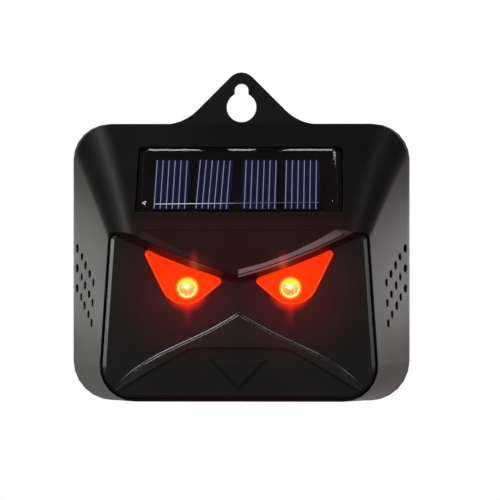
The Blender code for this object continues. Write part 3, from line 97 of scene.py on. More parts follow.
# The grilles' holes, a little wider than the CAD model's, with their flared mouths
HOLE_COLUMNS = 5
HOLE_ROWS = 3
HOLE_FIRST_DEPTH = 6.2 * MM
HOLE_PITCH = 3.15 * MM
HOLE_ROW_PITCH = 5 * MM
HOLE_COLUMN_DROP = 2.1 * MM
HOLE_TOP = 3.5 * MM
HOLE_RADIUS = 0.93 * MM
HOLE_MOUTH_RADIUS = 1.16 * MM
HOLE_FLARE_DEPTH = 0.24 * MM
HOLE_REACH = 4.6 * MM
HOLE_PROUD = 0.5 * MM
HOLE_SIDES = 24

# How wide each softened edge is, and from which depth on the window's edges are
VISOR_EDGE = 0.05 * MM
BROW_EDGE = 0.25 * MM
WINDOW_EDGE = 0.16 * MM
WINDOW_LEAST_DEPTH = 8 * MM
GROOVE_EDGE = 0.22 * MM
LIP_CREST_EDGES = (0.15 * MM, 0.20 * MM)
RELIEF_EDGE = 0.10 * MM
COVER_EDGE = 0.35 * MM
SCREW_EDGE = 0.05 * MM
SLIDER_EDGE = 0.06 * MM
PIN_EDGE = 0.08 * MM
WAFER_EDGE = 0.06 * MM

# The mask's side edges: how far their front corner moves in, from where, and how steeply they turn
EDGE_EXTRA = 0.35 * MM
EDGE_REACH = 1.5 * MM
EDGE_FADE = 1 * MM
EDGE_TILT = 0.4
EDGE_FOOT_REACH = 0.7 * MM
EDGE_FOOT_DEPTH = 0.35 * MM

# Where the mask is polished: near its outline, at the lip and at the upper corners of the triangle
POLISHED_REACH = 2 * MM
POLISHED_DEPTH = 0.6 * MM
NOSE_CORNER_X = 6 * MM
NOSE_CORNER_Z = -23.9 * MM
NOSE_CORNER_REACH = 0.7 * MM

# The back cover's outer edges: at its rim and its tab, and off the screws near its round corners
COVER_RIM_ZONE = 1.75 * MM
COVER_TAB_ZONE = 1 * MM
COVER_CORNER_X = 33 * MM
COVER_CORNER_Z = 25 * MM
COVER_CORNER_REACH = 8.6 * MM

# The lamps
LAMP_SEGMENTS = 48
PIN_WIDTH = 0.5 * MM
PIN_PITCH = 2.54 * MM
PIN_LENGTH = 2.6 * MM

# The solar panel's resin, cells, fingers and wire, which lie as the photo shows them
RESIN_SHOULDER = -0.3 * MM
RESIN_CORNER = 1.6 * MM
RIM_LEDGE = 0.8 * MM
RIM_STEPS = 6
RIM_TURN = math.radians(60)
RIM_SLOPE = math.radians(21)
RIM_SLOPE_WIDTH = 0.95 * MM
RESIN_INSIDE = 0.5 * MM
CELL_FOOT = -10.3 * MM
CELL_TOP = 6.9 * MM
CELL_WIDTH = 8.65 * MM
CELL_CENTRE_SHARES = (-0.330, -0.124, 0.096, 0.301)
CELL_TILTS_DEG = (0.5, 2.1, 0.8, 0.6)
TURNED_CELL = 3
FINGERS = 6
FINGER_WIDTH = 0.21 * MM
FINGER_THICK = 0.06 * MM
FINGER_PITCH = 1.48 * MM
FINGER_FIRST = 0.42 * MM
FINGER_INSET = 0.15 * MM
BUS_WIDTH = 0.16 * MM
BUS_ABOVE_FOOT = 2.0 * MM
BUS_LENGTH = 40.0 * MM
BUS_MIDDLE = -0.7 * MM
BUS_TILT = math.radians(0.8)

# The lamps' red light painted on the shell, and a painted pale sheen on the visor's front band; a fade is the
# place where it starts and the place where it ends
VISOR_GLOW_X = 10.8 * MM
VISOR_GLOW_Z = -2 * MM
VISOR_GLOW_WIDE = 8 * MM
VISOR_GLOW_HIGH = 7 * MM
STREAK_HALF = 1.6 * MM
STREAK_FADE = (-1.5 * MM, 4 * MM)
HAZE_FADE_UP = (6 * MM, 22 * MM)
HAZE_FADE_OUT = (14 * MM, 36 * MM)
FRONT_FADE = (FACE_DEPTH, FACE_DEPTH + 1 * MM)
STRIP_SHEEN_SOFT = 0.03 * MM
STRIP_SHEEN_FULL = 0.1 * MM
STRIP_SHEEN_MIDDLE = 0.3 * MM
STRIP_SHEEN_FADE = (4 * MM, 24 * MM)

# The same light painted on the mask and in the lenses, out from a lamp's middle, and the painted light and
# shade along the panel's wire;
# the first four are in millimetres
HALO_FADE = (3.2, 7.0)
RAY_HALF = 1.7
RAY_FADE = (3.5, 10)
WASH_FADE = (2, 26)
MASK_GLOW_DEPTHS = (PLATE_FRONT - 0.9 * MM, PLATE_FRONT - 0.1 * MM)
LENS_GLOW_FADE = (2.4 * MM, 9 * MM)
WIRE_PAINTED_SHADE_FADE = (-14 * MM, 4 * MM)

# How near counts as on a level, and up to which turn faces are merged or shaded smooth
WELD = 0.002 * MM
NEAR = 0.1 * MM
FLAT = math.radians(0.1)
CREASE = math.radians(24)
MASK_CREASE = math.radians(19)
LAMP_CREASE = math.radians(35)
RESIN_CREASE = math.radians(15)

# The floor, and the world's strengths: what the object mirrors before and behind it, and its plain fill
FLOOR_RADIUS = 1.2
FLOOR_LEVEL = -0.078
FLOOR_FADE = (0.09, 0.16)
STUDIO_DIM = 0.03
STUDIO_BACK = 0.60
STUDIO_FILL = 0.85

# Each light's direction from the object's middle, its width and height, and its radiance
LIGHT_DISTANCE = 0.60
MIDDLE = Vector((0, -0.020, 0))
LIGHTS = {
    "strip_left": ((-0.76, -0.65, 0.12), (0.12, 0.20), 10),
    "strip_right": ((0.72, -0.69, 0.10), (0.08, 0.20), 7),
    "lip_left": ((-0.50, -0.41, 0.76), (0.08, 0.08), 14),
    "lip_far_left": ((-0.66, -0.41, 0.63), (0.08, 0.08), 14),
    "lip_right": ((0.44, -0.42, 0.79), (0.06, 0.06), 7),
    "lip_far_right": ((0.66, -0.42, 0.63), (0.06, 0.06), 10),
    "edge_left": ((-0.46, -0.06, 0.88), (0.07, 0.07), 6),
    "nose_left": ((-0.53, -0.845, 0.13), (0.045, 0.045), 25),
    "nose_right": ((0.49, -0.875, 0.13), (0.045, 0.045), 25),
    "resin_top": ((0, 0.70, 0.71), (0.20, 0.12), 2),
    "resin_left": ((-0.46, 0.18, 0.86), (0.05, 0.05), 2),
    "resin_right": ((0.46, 0.18, 0.86), (0.05, 0.05), 6),
    "resin_corner": ((-0.41, -0.36, 0.84), (0.08, 0.08), 7),
}

# The panels behind the object that its side walls mirror
PANEL_OUT = 0.130
PANEL_BACK = 0.110
PANEL_AIM_OUT = 0.036
PANEL_AIM_BACK = -0.015
PANEL_SIZE = (0.05, 0.035)
PANEL_RADIANCES = (1.25, 1.6)


# Shader maths


class Channel:
    """A value in a material: sums and products of channels add the nodes that work them out."""

    def __init__(self, finish, socket):
        self.finish = finish
        self.socket = socket

    def maths(self, operation, *others):
        values = dict(enumerate((self, *others)))
        return self.finish.node("ShaderNodeMath", {"operation": operation}, values)

    def __add__(self, other):
        return self.maths("ADD", other)

    def __sub__(self, other):
        return self.maths("SUBTRACT", other)

    def __mul__(self, other):
        return self.maths("MULTIPLY", other)

    def __truediv__(self, other):
        return self.maths("DIVIDE", other)

    def __pow__(self, other):
        return self.maths("POWER", other)

    def __rsub__(self, other):
        return self.finish.node("ShaderNodeMath", {"operation": "SUBTRACT"}, {0: other, 1: self})

    __radd__ = __add__
    __rmul__ = __mul__

    def most(self, other):
        return self.maths("MAXIMUM", other)

    def size(self):
        return self.maths("ABSOLUTE")

    def rising(self, low, high):
        """From 0 at the low value to 1 at the high one, smoothly."""
        settings = {"interpolation_type": "SMOOTHSTEP"}
        return self.finish.node("ShaderNodeMapRange", settings, {"Value": self, 1: low, 2: high})


class Nodes:
    """The nodes of a material or of the world, made piece by piece."""

    def __init__(self, tree):
        self.tree = tree

    def node(self, kind, settings=None, values=None, output=0):
        """A node of this kind, with its settings made first and then its sockets filled."""
        made = self.tree.nodes.new(kind)
        for setting, value in (settings or {}).items():
            setattr(made, setting, value)
        for socket, value in (values or {}).items():
            if isinstance(value, Channel):
                self.tree.links.new(value.socket, made.inputs[socket])
            else:
                made.inputs[socket].default_value = value
        return Channel(self, made.outputs[output])

    def part_of(self, vector, axis):
        return self.node("ShaderNodeSeparateXYZ", None, {0: vector}, output="XYZ".index(axis))

    def mix(self, factor, first, second):
        """One colour laid over another by a factor."""
        first = first if isinstance(first, Channel) else (*first, 1)
        second = second if isinstance(second, Channel) else (*second, 1)
        return self.node("ShaderNodeMix", {"data_type": "RGBA"}, {0: factor, 6: first, 7: second}, output=2)

    def blend(self, factor, first, second):
        """One number laid over another by a factor."""
        return self.node("ShaderNodeMix", {"data_type": "FLOAT"}, {0: factor, 2: first, 3: second})


class Finish(Nodes):
    """A material with one Principled shader."""

    def __init__(self, name, colour, **constants):
        self.material = bpy.data.materials.new(name)
        self.material.use_nodes = True
        self.material.diffuse_color = (*colour, 1)
        super().__init__(self.material.node_tree)
        self.shader = self.tree.nodes["Principled BSDF"]
        self.shader.inputs["Base Color"].default_value = (*colour, 1)
        for socket, value in constants.items():
            self.shader.inputs[socket.replace("_", " ")].default_value = value

    def place(self):
        return self.node("ShaderNodeTexCoord", output="Object")

    def noise(self, scale, detail=2, roughness=0.5, vector=None):
        values = {"Vector": vector or self.place(), "Scale": scale, "Detail": detail, "Roughness": roughness}
        return self.node("ShaderNodeTexNoise", None, values, output="Fac")

    def stretched(self, shares):
        """Places squeezed along each axis, for a grain that runs one way."""
        return self.node("ShaderNodeMapping", None, {"Vector": self.place(), "Scale": shares})

    def bump(self, height, distance, strength=1):
        values = {"Height": height, "Distance": distance, "Strength": strength}
        return self.node("ShaderNodeBump", None, values)

    def feed(self, **channels):
        """Links channels into the shader's own sockets."""
        for socket, channel in channels.items():
            self.tree.links.new(channel.socket, self.shader.inputs[socket.replace("_", " ")])
        return self


# Finishes


def spark_grain(finish, height):
    """The fine spark-eroded grain of a mould, as a bump."""
    grain = finish.noise(2600, 3, 0.6) * 0.65 + finish.noise(7000, 1) * 0.35
    return finish.bump(grain, height)


def moulded_plastic(name, colour, lighter, roughness, spread, grain):
    """Moulded plastic: a fine grain, cloudy gloss where hands and the mould polished it, a little dust."""
    finish = Finish(name, colour)
    cloud = finish.noise(90, 4, 0.6)
    speck = finish.noise(1500, 2, 0.7)
    rubbed = finish.noise(28, 3, 0.55).rising(0.42, 0.72)
    shade = finish.mix(cloud.rising(0.35, 0.75) * 0.7 + speck.rising(0.6, 0.8) * 0.3, colour, lighter)
    worn = speck.rising(0.62, 0.8) * (spread / 2) - rubbed * (spread / 3)
    gloss = roughness + (cloud - 0.5) * spread + worn
    return finish.feed(Base_Color=shade, Roughness=gloss, Normal=spark_grain(finish, grain))


def shell_plastic():
    """The housing's black plastic, with the lamps' red light painted on under the visor and a painted pale
    sheen on the visor's front band.
    """
    finish = moulded_plastic(
        "shell_plastic", (0.0012, 0.0011, 0.0010), (0.0022, 0.0020, 0.0018), 0.37, 0.08, 0.005 * MM
    )
    spot = finish.place()
    right, up = finish.part_of(spot, "X"), finish.part_of(spot, "Z")
    depth = finish.part_of(spot, "Y") * -1
    beside = right.size() - VISOR_GLOW_X
    streak = (1 - beside.size().rising(0, STREAK_HALF)) * (1 - up.rising(*STREAK_FADE))
    x, z = beside / VISOR_GLOW_WIDE, (up - VISOR_GLOW_Z) / VISOR_GLOW_HIGH
    wide = (1 - ((x * x + z * z) ** 0.5).rising(0, 1)) ** 2
    haze = (1 - up.rising(*HAZE_FADE_UP)) * (1 - right.size().rising(*HAZE_FADE_OUT))
    front = depth.rising(*FRONT_FADE)
    glow = (streak * 0.24 + wide * 0.10) * front + haze * (0.007 + front * 0.010)
    red = finish.mix(glow, (0, 0, 0), (1.0, 0.06, 0.05))
    # A painted pale highlight on the visor's front band, on its right half only, fading out to the side
    strip_sheen = depth.rising(VISOR_FACE + STRIP_SHEEN_SOFT, VISOR_FACE + STRIP_SHEEN_FULL)
    strip_sheen = strip_sheen * (1 - depth.rising(BODY_DEPTH - STRIP_SHEEN_FULL, BODY_DEPTH - STRIP_SHEEN_SOFT))
    strip_sheen = strip_sheen * right.rising(-STRIP_SHEEN_MIDDLE, STRIP_SHEEN_MIDDLE) * (1 - right.rising(*STRIP_SHEEN_FADE) * 0.7)
    red = finish.mix(strip_sheen * 0.15, red, (1.0, 0.46, 0.44))
    finish.shader.inputs["Emission Strength"].default_value = 1
    return finish.feed(Emission_Color=red).material


def polished_edge():
    """The same plastic where the mould's edge left it smooth and shiny."""
    finish = Finish("polished_edge", (0.0045, 0.0043, 0.0042))
    cloud = finish.noise(240, 3, 0.6)
    shade = finish.mix(cloud, (0.0040, 0.0038, 0.0037), (0.0060, 0.0057, 0.0055))
    wave = finish.bump(finish.noise(420, 2), 0.004 * MM, 0.4)
    return finish.feed(Base_Color=shade, Roughness=0.16 + cloud * 0.08, Normal=wave).material


def mask_plastic():
    """The mask's black plastic, lit red below and around the eyes by the lamps."""
    dark, light = (0.0050, 0.0045, 0.0041), (0.0070, 0.0063, 0.0057)
    finish = Finish("mask_plastic", dark, Emission_Strength=1)
    cloud = finish.noise(90, 4, 0.6)
    speck = finish.noise(1500, 2, 0.7)
    shade = finish.mix(cloud.rising(0.35, 0.75) * 0.8 + speck.rising(0.6, 0.8) * 0.2, dark, light)
    gloss = 0.36 + (cloud - 0.5) * 0.08
    spot = finish.place()
    x = (finish.part_of(spot, "X").size() - LED_X) / MM
    z = (finish.part_of(spot, "Z") - LED_Z) / MM
    reach = (x * x + z * z) ** 0.5
    down = (z * -1 / reach).rising(-0.1, 1)
    halo = (1 - reach.rising(*HALO_FADE)) ** 2 * down
    ray = (1 - x.size().rising(0, RAY_HALF)) * (1 - reach.rising(*RAY_FADE)) * down
    wash = (1 - reach.rising(*WASH_FADE)) ** 2
    shown = (finish.part_of(spot, "Y") * -1).rising(*MASK_GLOW_DEPTHS)
    red = finish.mix((halo * 1.1 + ray * 0.20 + wash * 0.052) * shown, (0, 0, 0), (1.0, 0.012, 0.008))
    return finish.feed(
        Base_Color=shade, Roughness=gloss, Emission_Color=red, Normal=spark_grain(finish, 0.004 * MM)
    ).material


def lens_plastic():
    """The eye's translucent orange-red body, evenly lit from behind."""
    finish = Finish("lens_plastic", (0.3, 0.012, 0.001), Specular_IOR_Level=0.15, Emission_Strength=1)
    spot = finish.place()
    x, z = finish.part_of(spot, "X").size() - LED_X, finish.part_of(spot, "Z") - LED_Z
    reach = (x * x + z * z) ** 0.5
    near = 1 - reach.rising(*LENS_GLOW_FADE)
    cloud = finish.noise(320, 2, 0.5)
    base = finish.mix(cloud, (0.20, 0.006, 0.0005), (0.30, 0.010, 0.0008))
    glow = finish.mix(near * 0.7 + (cloud - 0.5) * 0.3, (0.93, 0.024, 0.0001), (0.99, 0.036, 0.0002))
    wave = finish.bump(finish.noise(260, 2), 0.02 * MM, 0.5)
    gloss = 0.12 + cloud * 0.08
    return finish.feed(Base_Color=base, Emission_Color=glow, Roughness=gloss, Normal=wave).material


def lens_rim(name, colour, dark, light, roughness):
    """A polished edge of the lens with a painted glow from within: one copy is pale, for its sides and foot,
    and one is deep red, a painted shade for its top.
    """
    finish = Finish(name, colour, Roughness=roughness, Emission_Strength=1)
    cloud = finish.noise(700, 2)
    gloss = roughness - 0.02 + cloud * 0.06
    return finish.feed(Emission_Color=finish.mix(cloud, dark, light), Roughness=gloss).material


def lamp_epoxy():
    """The lamp's clear dome over its lit cup: a pale yellow ring, and a mottled middle with a white spot.

    Its places are shares of the lamp's radius.
    """
    finish = Finish("lamp_epoxy", (0.05, 0.03, 0.01), Roughness=0.06, Emission_Strength=1)
    spot = finish.place()
    x = (finish.part_of(spot, "X").size() - LED_X) / LED_RADIUS
    z = (finish.part_of(spot, "Z") - LED_Z) / LED_RADIUS
    reach = (x * x + z * z) ** 0.5
    mottle = finish.noise(1500, 2, 0.6)
    cup = finish.mix(z.rising(-0.6, 0.7), (0.95, 0.30, 0.02), (1.0, 0.86, 0.02))
    beside = (x.size().rising(0.2, 0.5)) * (1 - z.size().rising(0.15, 0.5))
    cup = finish.mix(beside * mottle.rising(0.40, 0.62), cup, (0.50, 0.36, 0.28))
    cup = finish.mix(mottle.rising(0.52, 0.70) * 0.7, cup, (0.95, 0.92, 0.45))
    core = (x * x + (z - 0.14) * (z - 0.14)) ** 0.5
    cup = finish.mix(1 - core.rising(0.10, 0.42), cup, (1.0, 1.0, 0.90))
    ring = reach.rising(0.70, 0.80) * (1 - reach.rising(0.90, 0.97))
    lit = finish.mix(z.rising(-0.9, 0.9), (1.0, 1.0, 0.42), (1.0, 0.88, 0.06))
    glow = finish.mix(ring, finish.mix(reach.rising(0.85, 0.95), cup, (0.70, 0.22, 0.008)), lit)
    return finish.feed(Emission_Color=glow, Roughness=0.05 + mottle * 0.03).material


def silicon():
    """Blue-black silicon with a faint crystal cloud under its coating."""
    finish = Finish("silicon", (0.012, 0.014, 0.10), Roughness=0.3, Coat_Weight=0.3)
    spot = finish.place()
    crystal = finish.node("ShaderNodeTexVoronoi", None, {"Vector": spot, "Scale": 420, "Randomness": 1})
    cloud = finish.noise(140, 3, 0.6)
    pattern = cloud * 0.6 + crystal.rising(0.1, 0.8) * 0.4
    shade = finish.mix(pattern, (0.0022, 0.0024, 0.018), (0.0045, 0.0050, 0.038))
    gloss = 0.12 + cloud * 0.06
    return finish.feed(Base_Color=shade, Roughness=gloss, Normal=finish.bump(cloud, 0.01 * MM, 0.3)).material


def silver_print():
    """Fired silver paste, matt and a little uneven."""
    finish = Finish("silver_print", (0.6, 0.6, 0.62))
    cloud = finish.noise(900, 3, 0.6)
    shade = finish.mix(cloud, (0.15, 0.15, 0.18), (0.25, 0.25, 0.28))
    gloss = 0.42 + cloud * 0.2
    return finish.feed(Base_Color=shade, Roughness=gloss, Normal=finish.bump(cloud, 0.01 * MM)).material


def tinned_wire():
    """The wire across the cells, with a painted highlight at its left end and a painted dark shade at its
    right end, in the lamps' red haze.
    """
    finish = Finish("tinned_wire", (0.5, 0.5, 0.5))
    cloud = finish.noise(900, 3, 0.6)
    # Painted light along the wire: bright towards the left, dark towards the right
    haze = finish.part_of(finish.place(), "X").rising(*WIRE_PAINTED_SHADE_FADE)
    shade = finish.mix(haze, finish.mix(cloud, (0.60, 0.60, 0.64), (0.80, 0.80, 0.84)), (0.10, 0.07, 0.09))
    gloss = 0.42 + cloud * 0.2
    return finish.feed(Base_Color=shade, Roughness=gloss, Normal=finish.bump(cloud, 0.01 * MM)).material


def clear_epoxy():
    """Clear casting resin: what is under it shows through, and its skin mirrors like glass."""
    finish = Finish("clear_epoxy", (1, 1, 1), Metallic=1, Roughness=0.03)
    ripple = finish.bump(finish.noise(60, 2) + finish.noise(240, 1) * 0.1, 0.10 * MM, 0.30)
    gloss = 0.02 + finish.noise(300, 2) * 0.03
    outside = 1 - finish.node("ShaderNodeNewGeometry", output="Backfacing")
    skin = finish.node("ShaderNodeFresnel", None, {"IOR": 1.5, "Normal": ripple}) * outside
    return finish.feed(Roughness=gloss, Normal=ripple, Alpha=skin).material


def resin_inside():
    """The resin against the cells, where it can't be seen."""
    finish = Finish("resin_inside", (0.01, 0.01, 0.01), Roughness=0.1)
    return finish.feed(Alpha=finish.noise(300, 2) * 0.004).material


def speckled(name, dark, light, roughness, scale=600, height=0.01 * MM):
    """A plain finish with cloud in its colour and gloss, and a fine grain."""
    finish = Finish(name, light)
    cloud = finish.noise(scale, 3, 0.6)
    shade = finish.mix(cloud.rising(0.3, 0.7), dark, light)
    gloss = roughness + (cloud - 0.5) * 0.14
    return finish.feed(Base_Color=shade, Roughness=gloss, Normal=finish.bump(cloud, height, 0.7)).material


def brushed(name, dark, light, roughness, shares=(1, 1, 0.05)):
    """Metal with fine marks that run one way."""
    finish = Finish(name, light, Metallic=1)
    marks = finish.noise(4000, 3, 0.7, finish.stretched(shares))
    cloud = finish.noise(260, 3)
    shade = finish.mix(cloud.rising(0.3, 0.75), light, dark)
    gloss = roughness + (marks - 0.5) * 0.16 + cloud.rising(0.55, 0.8) * 0.1
    return finish.feed(Base_Color=shade, Roughness=gloss, Normal=finish.bump(marks, 0.004 * MM, 0.5)).material


def solder_mask():
    """A board's green lacquer over faint copper tracks."""
    finish = Finish("solder_mask", (0.012, 0.11, 0.035), Roughness=0.32)
    turn = {"Vector": finish.place(), "Rotation": (math.pi / 2, 0, 0)}
    pattern = {
        "Vector": finish.node("ShaderNodeMapping", None, turn),
        "Scale": 1,
        "Mortar Size": 0.35 * MM,
        "Mortar Smooth": 0.2,
        "Brick Width": 7 * MM,
        "Row Height": 2.2 * MM,
    }
    tracks = finish.node("ShaderNodeTexBrick", {"offset": 0.37}, pattern, output="Fac")
    cloud = finish.noise(200, 3)
    shade = finish.mix(tracks, (0.010, 0.085, 0.028), (0.03, 0.19, 0.06))
    gloss = 0.28 + cloud * 0.1
    return finish.feed(Base_Color=shade, Roughness=gloss, Normal=finish.bump(tracks, 0.03 * MM, 0.6)).material


def foam_rubber():
    """Open-cell foam."""
    finish = Finish("foam_rubber", (0.03, 0.03, 0.03), Roughness=0.95)
    cells = finish.node("ShaderNodeTexVoronoi", None, {"Vector": finish.place(), "Scale": 2200})
    shade = finish.mix(cells.rising(0.1, 0.6), (0.012, 0.012, 0.012), (0.05, 0.05, 0.05))
    return finish.feed(Base_Color=shade, Normal=finish.bump(cells, 0.1 * MM)).material


def cell_sleeve():
    """The battery's printed sleeve: plain green film, with its bare steel ends."""
    finish = Finish("cell_sleeve", (0.03, 0.2, 0.08), Roughness=0.3)
    along = finish.part_of(finish.place(), "X")
    ends = along.size().rising(SLEEVE_HALF, SLEEVE_HALF + NEAR / 2)
    cloud = finish.noise(260, 3)
    film = finish.mix(cloud, (0.02, 0.16, 0.06), (0.03, 0.22, 0.085))
    shade = finish.mix(ends, film, (0.6, 0.6, 0.6))
    return finish.feed(Base_Color=shade, Metallic=ends, Roughness=0.26 + cloud * 0.12).material


FINISHES = {
    "black_abs": shell_plastic(),
    "black_abs_back": moulded_plastic(
        "cover_plastic", (0.0024, 0.0024, 0.0024), (0.0040, 0.0039, 0.0038), 0.38, 0.10, 0.007 * MM
    ).material,
    "polished_edge": polished_edge(),
    "mask": mask_plastic(),
    "orange_lens": lens_plastic(),
    "lens_edge": lens_rim("lens_edge", (0.9, 0.2, 0.08), (0.80, 0.070, 0.030), (0.95, 0.15, 0.08), 0.12),
    "lens_shade": lens_rim("lens_shade", (0.3, 0.01, 0.004), (0.24, 0.004, 0.001), (0.36, 0.007, 0.002), 0.2),
    "led_epoxy": lamp_epoxy(),
    "pin_metal": brushed("pin_metal", (0.45, 0.45, 0.45), (0.7, 0.7, 0.7), 0.3),
    "clear_resin": clear_epoxy(),
    "resin_inside": resin_inside(),
    "silicon": silicon(),
    "silver": silver_print(),
    "tinned_wire": tinned_wire(),
    "dark_board": speckled("dark_board", (0.0012, 0.0007, 0.0004), (0.0022, 0.0014, 0.0008), 0.2, 300),
    "green_board": solder_mask(),
    "steel": brushed("steel", (0.36, 0.36, 0.37), (0.62, 0.62, 0.62), 0.3, (1, 0.05, 1)),
    "rubber": speckled("rubber", (0.012, 0.012, 0.012), (0.026, 0.026, 0.026), 0.75),
    "foam": foam_rubber(),
    "aluminium": brushed("aluminium", (0.6, 0.6, 0.61), (0.8, 0.8, 0.81), 0.34),
    "cell_wrap": cell_sleeve(),
    "chip_plastic": speckled(
        "chip_plastic", (0.010, 0.010, 0.011), (0.02, 0.02, 0.022), 0.55, 1800, 0.02 * MM
    ),
    "red_wire": speckled("red_wire", (0.36, 0.008, 0.008), (0.5, 0.015, 0.012), 0.35, 500),
    "black_wire": speckled("black_wire", (0.010, 0.010, 0.010), (0.02, 0.02, 0.02), 0.35, 500),
    "switch_plastic": moulded_plastic(
        "knob_plastic", (0.012, 0.012, 0.012), (0.02, 0.02, 0.02), 0.42, 0.1, 0.004 * MM
    ).material,
}


# Modelling


def drop_selection():
    for each in bpy.context.selected_objects:
        each.select_set(False)


def take(piece):
    """Makes this piece the only one selected."""
    drop_selection()
    piece.select_set(True)
    bpy.context.view_layer.objects.active = piece


def edit(piece, mode="EDGE"):
    take(piece)
    bpy.ops.object.mode_set(mode="EDIT")
    bpy.ops.mesh.select_mode(type=mode)


def leave():
    bpy.ops.object.mode_set(mode="OBJECT")


def pick(piece, kind, wanted):
    """Selects the edges, faces or vertices that are wanted, leaving edit mode for it and coming back."""
    bpy.ops.mesh.select_all(action="DESELECT")
    leave()
    mesh = piece.data
    for element in getattr(mesh, kind):
        element.select = bool(wanted(element))
    bpy.ops.object.mode_set(mode="EDIT")


def finish_mesh(piece, crease=CREASE):
    """Settles a piece at the origin, shades it and lets its large faces rule the shading."""
    take(piece)
    bpy.ops.object.transform_apply(location=True, rotation=True, scale=True)
    bpy.ops.object.shade_smooth_by_angle(angle=crease)
    weigh = piece.modifiers.new("weigh", "WEIGHTED_NORMAL")
    weigh.keep_sharp = True
    weigh.weight = 60
    bpy.ops.object.modifier_apply(modifier=weigh.name)


def clothe(piece, *finishes):
    """Gives a piece its finishes, the one that covers most of it first."""
    for finish in finishes:
        piece.data.materials.append(FINISHES[finish])
    return piece


def dress(piece, name, slot, body, *nodes):
    """Names a piece, hangs it on the body that it rides on and hides the nodes that it stands for."""
    piece.name = name
    piece.data.name = name
    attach(piece, body)
    if nodes:
        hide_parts(*nodes)


def copy_of(node, *finishes):
    """A CAD node's form as a new piece, with its loose triangles merged."""
    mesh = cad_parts[node].data.copy()
    piece = bpy.data.objects.new(node + "_form", mesh)
    bpy.context.scene.collection.objects.link(piece)
    mesh.materials.clear()
    clothe(piece, *finishes)
    take(piece)
    bpy.ops.mesh.customdata_custom_splitnormals_clear()
    edit(piece, "VERT")
    bpy.ops.mesh.select_all(action="SELECT")
    bpy.ops.mesh.remove_doubles(threshold=WELD)
    leave()
    return piece


def make_whole(piece):
    """Merges what lies in one plane into one face."""
    edit(piece, "VERT")
    bpy.ops.mesh.select_all(action="SELECT")
    bpy.ops.mesh.dissolve_limited(angle_limit=FLAT)
    leave()


def edge_facts(piece):
    """For each edge: its two ends, the angle between its faces or zero at a border, and their normals."""
    mesh = piece.data
    normals = {}
    for polygon in mesh.polygons:
        for key in polygon.edge_keys:
            normals.setdefault(key, []).append(polygon.normal.copy())
    facts = []
    for each in mesh.edges:
        ends = [mesh.vertices[k].co.copy() for k in each.vertices]
        sides = normals.get(tuple(sorted(each.vertices)), [])
        turn = sides[0].angle(sides[1], 0) if len(sides) == 2 else 0
        facts.append((ends, turn, sides))
    return facts


def soften(piece, width, segments, wanted, least=20, finish=-1):
    """Bevels the edges past the least angle, in degrees, that wanted picks by their ends and normals."""
    chosen = [turn > math.radians(least) and wanted(ends, sides) for ends, turn, sides in edge_facts(piece)]
    if not any(chosen):
        raise RuntimeError("no edge to soften on " + piece.name)
    edit(piece)
    pick(piece, "edges", lambda each: chosen[each.index])
    bpy.ops.mesh.bevel(offset=width, segments=segments, clamp_overlap=True, affect="EDGES", material=finish)
    leave()


def join(pieces):
    take(pieces[0])
    for each in pieces:
        each.select_set(True)
    bpy.ops.object.join()
    return bpy.context.view_layer.objects.active


def cut_with(piece, cutter):
    """Takes the cutter's form out of a piece."""
    take(piece)
    modifier = piece.modifiers.new("cut", "BOOLEAN")
    modifier.object = cutter
    modifier.operation = "DIFFERENCE"
    modifier.solver = "EXACT"
    bpy.ops.object.modifier_apply(modifier=modifier.name)
    bpy.data.objects.remove(cutter)


def depth_of(point):
    return -point.y


# The shell


def side_reach(depth, height):
    """Half the housing's width at a depth and a height."""
    taper = max(0, (depth - SIDE_BEND) / (FACE_DEPTH - SIDE_BEND))
    face = PLATE_TOP_HALF + GAP + RIM_WIDTH + (PLATE_TOP - height) * FLARE_RATIO
    return HALF_WIDTH - taper * (HALF_WIDTH - face)


def skin_gap(x, depth, height):
    """How far a point lies outside the skin: beyond its side, its top or foot, or a round corner."""
    share = min(1, max(0, (depth - RIM_DEPTH) / (BODY_DEPTH - RIM_DEPTH)))
    if height > 0:
        level = min(HALF_HEIGHT, BROW_HEIGHT + (VISOR_FACE - depth) * ROOF_RATIO)
        radius = TOP_RADIUS + (BROW_RADIUS - TOP_RADIUS) * share
        beyond, hand = height - level, 1
    else:
        level = (HALF_HEIGHT + PLATE_FOOT - GAP - RIM_FOOT) * depth / FACE_DEPTH - HALF_HEIGHT
        radius = FOOT_RADIUS + (FACE_FOOT_RADIUS - FOOT_RADIUS) * share
        beyond, hand = level - height, -1
    foot_reach, top_reach = side_reach(depth, -HALF_HEIGHT), side_reach(depth, HALF_HEIGHT)
    lean = (foot_reach - top_reach) / (2 * HALF_HEIGHT)
    secant = math.hypot(1, lean)
    beside = (abs(x) - side_reach(depth, height)) / secant
    centre_z = level - hand * radius
    centre_x = side_reach(depth, centre_z) - radius * secant
    over, out = abs(x) - centre_x, hand * (height - centre_z)
    if out > hand * lean * over and over > 0:
        return math.hypot(over, out) - radius
    return max(beside, beyond)


def skin_normal(x, depth, height):
    """The skin's outward direction near a point."""
    step = 0.005 * MM
    across = skin_gap(x + step, depth, height) - skin_gap(x - step, depth, height)
    inward = skin_gap(x, depth + step, height) - skin_gap(x, depth - step, height)
    up = skin_gap(x, depth, height + step) - skin_gap(x, depth, height - step)
    return Vector((across, -inward, up)).normalized()


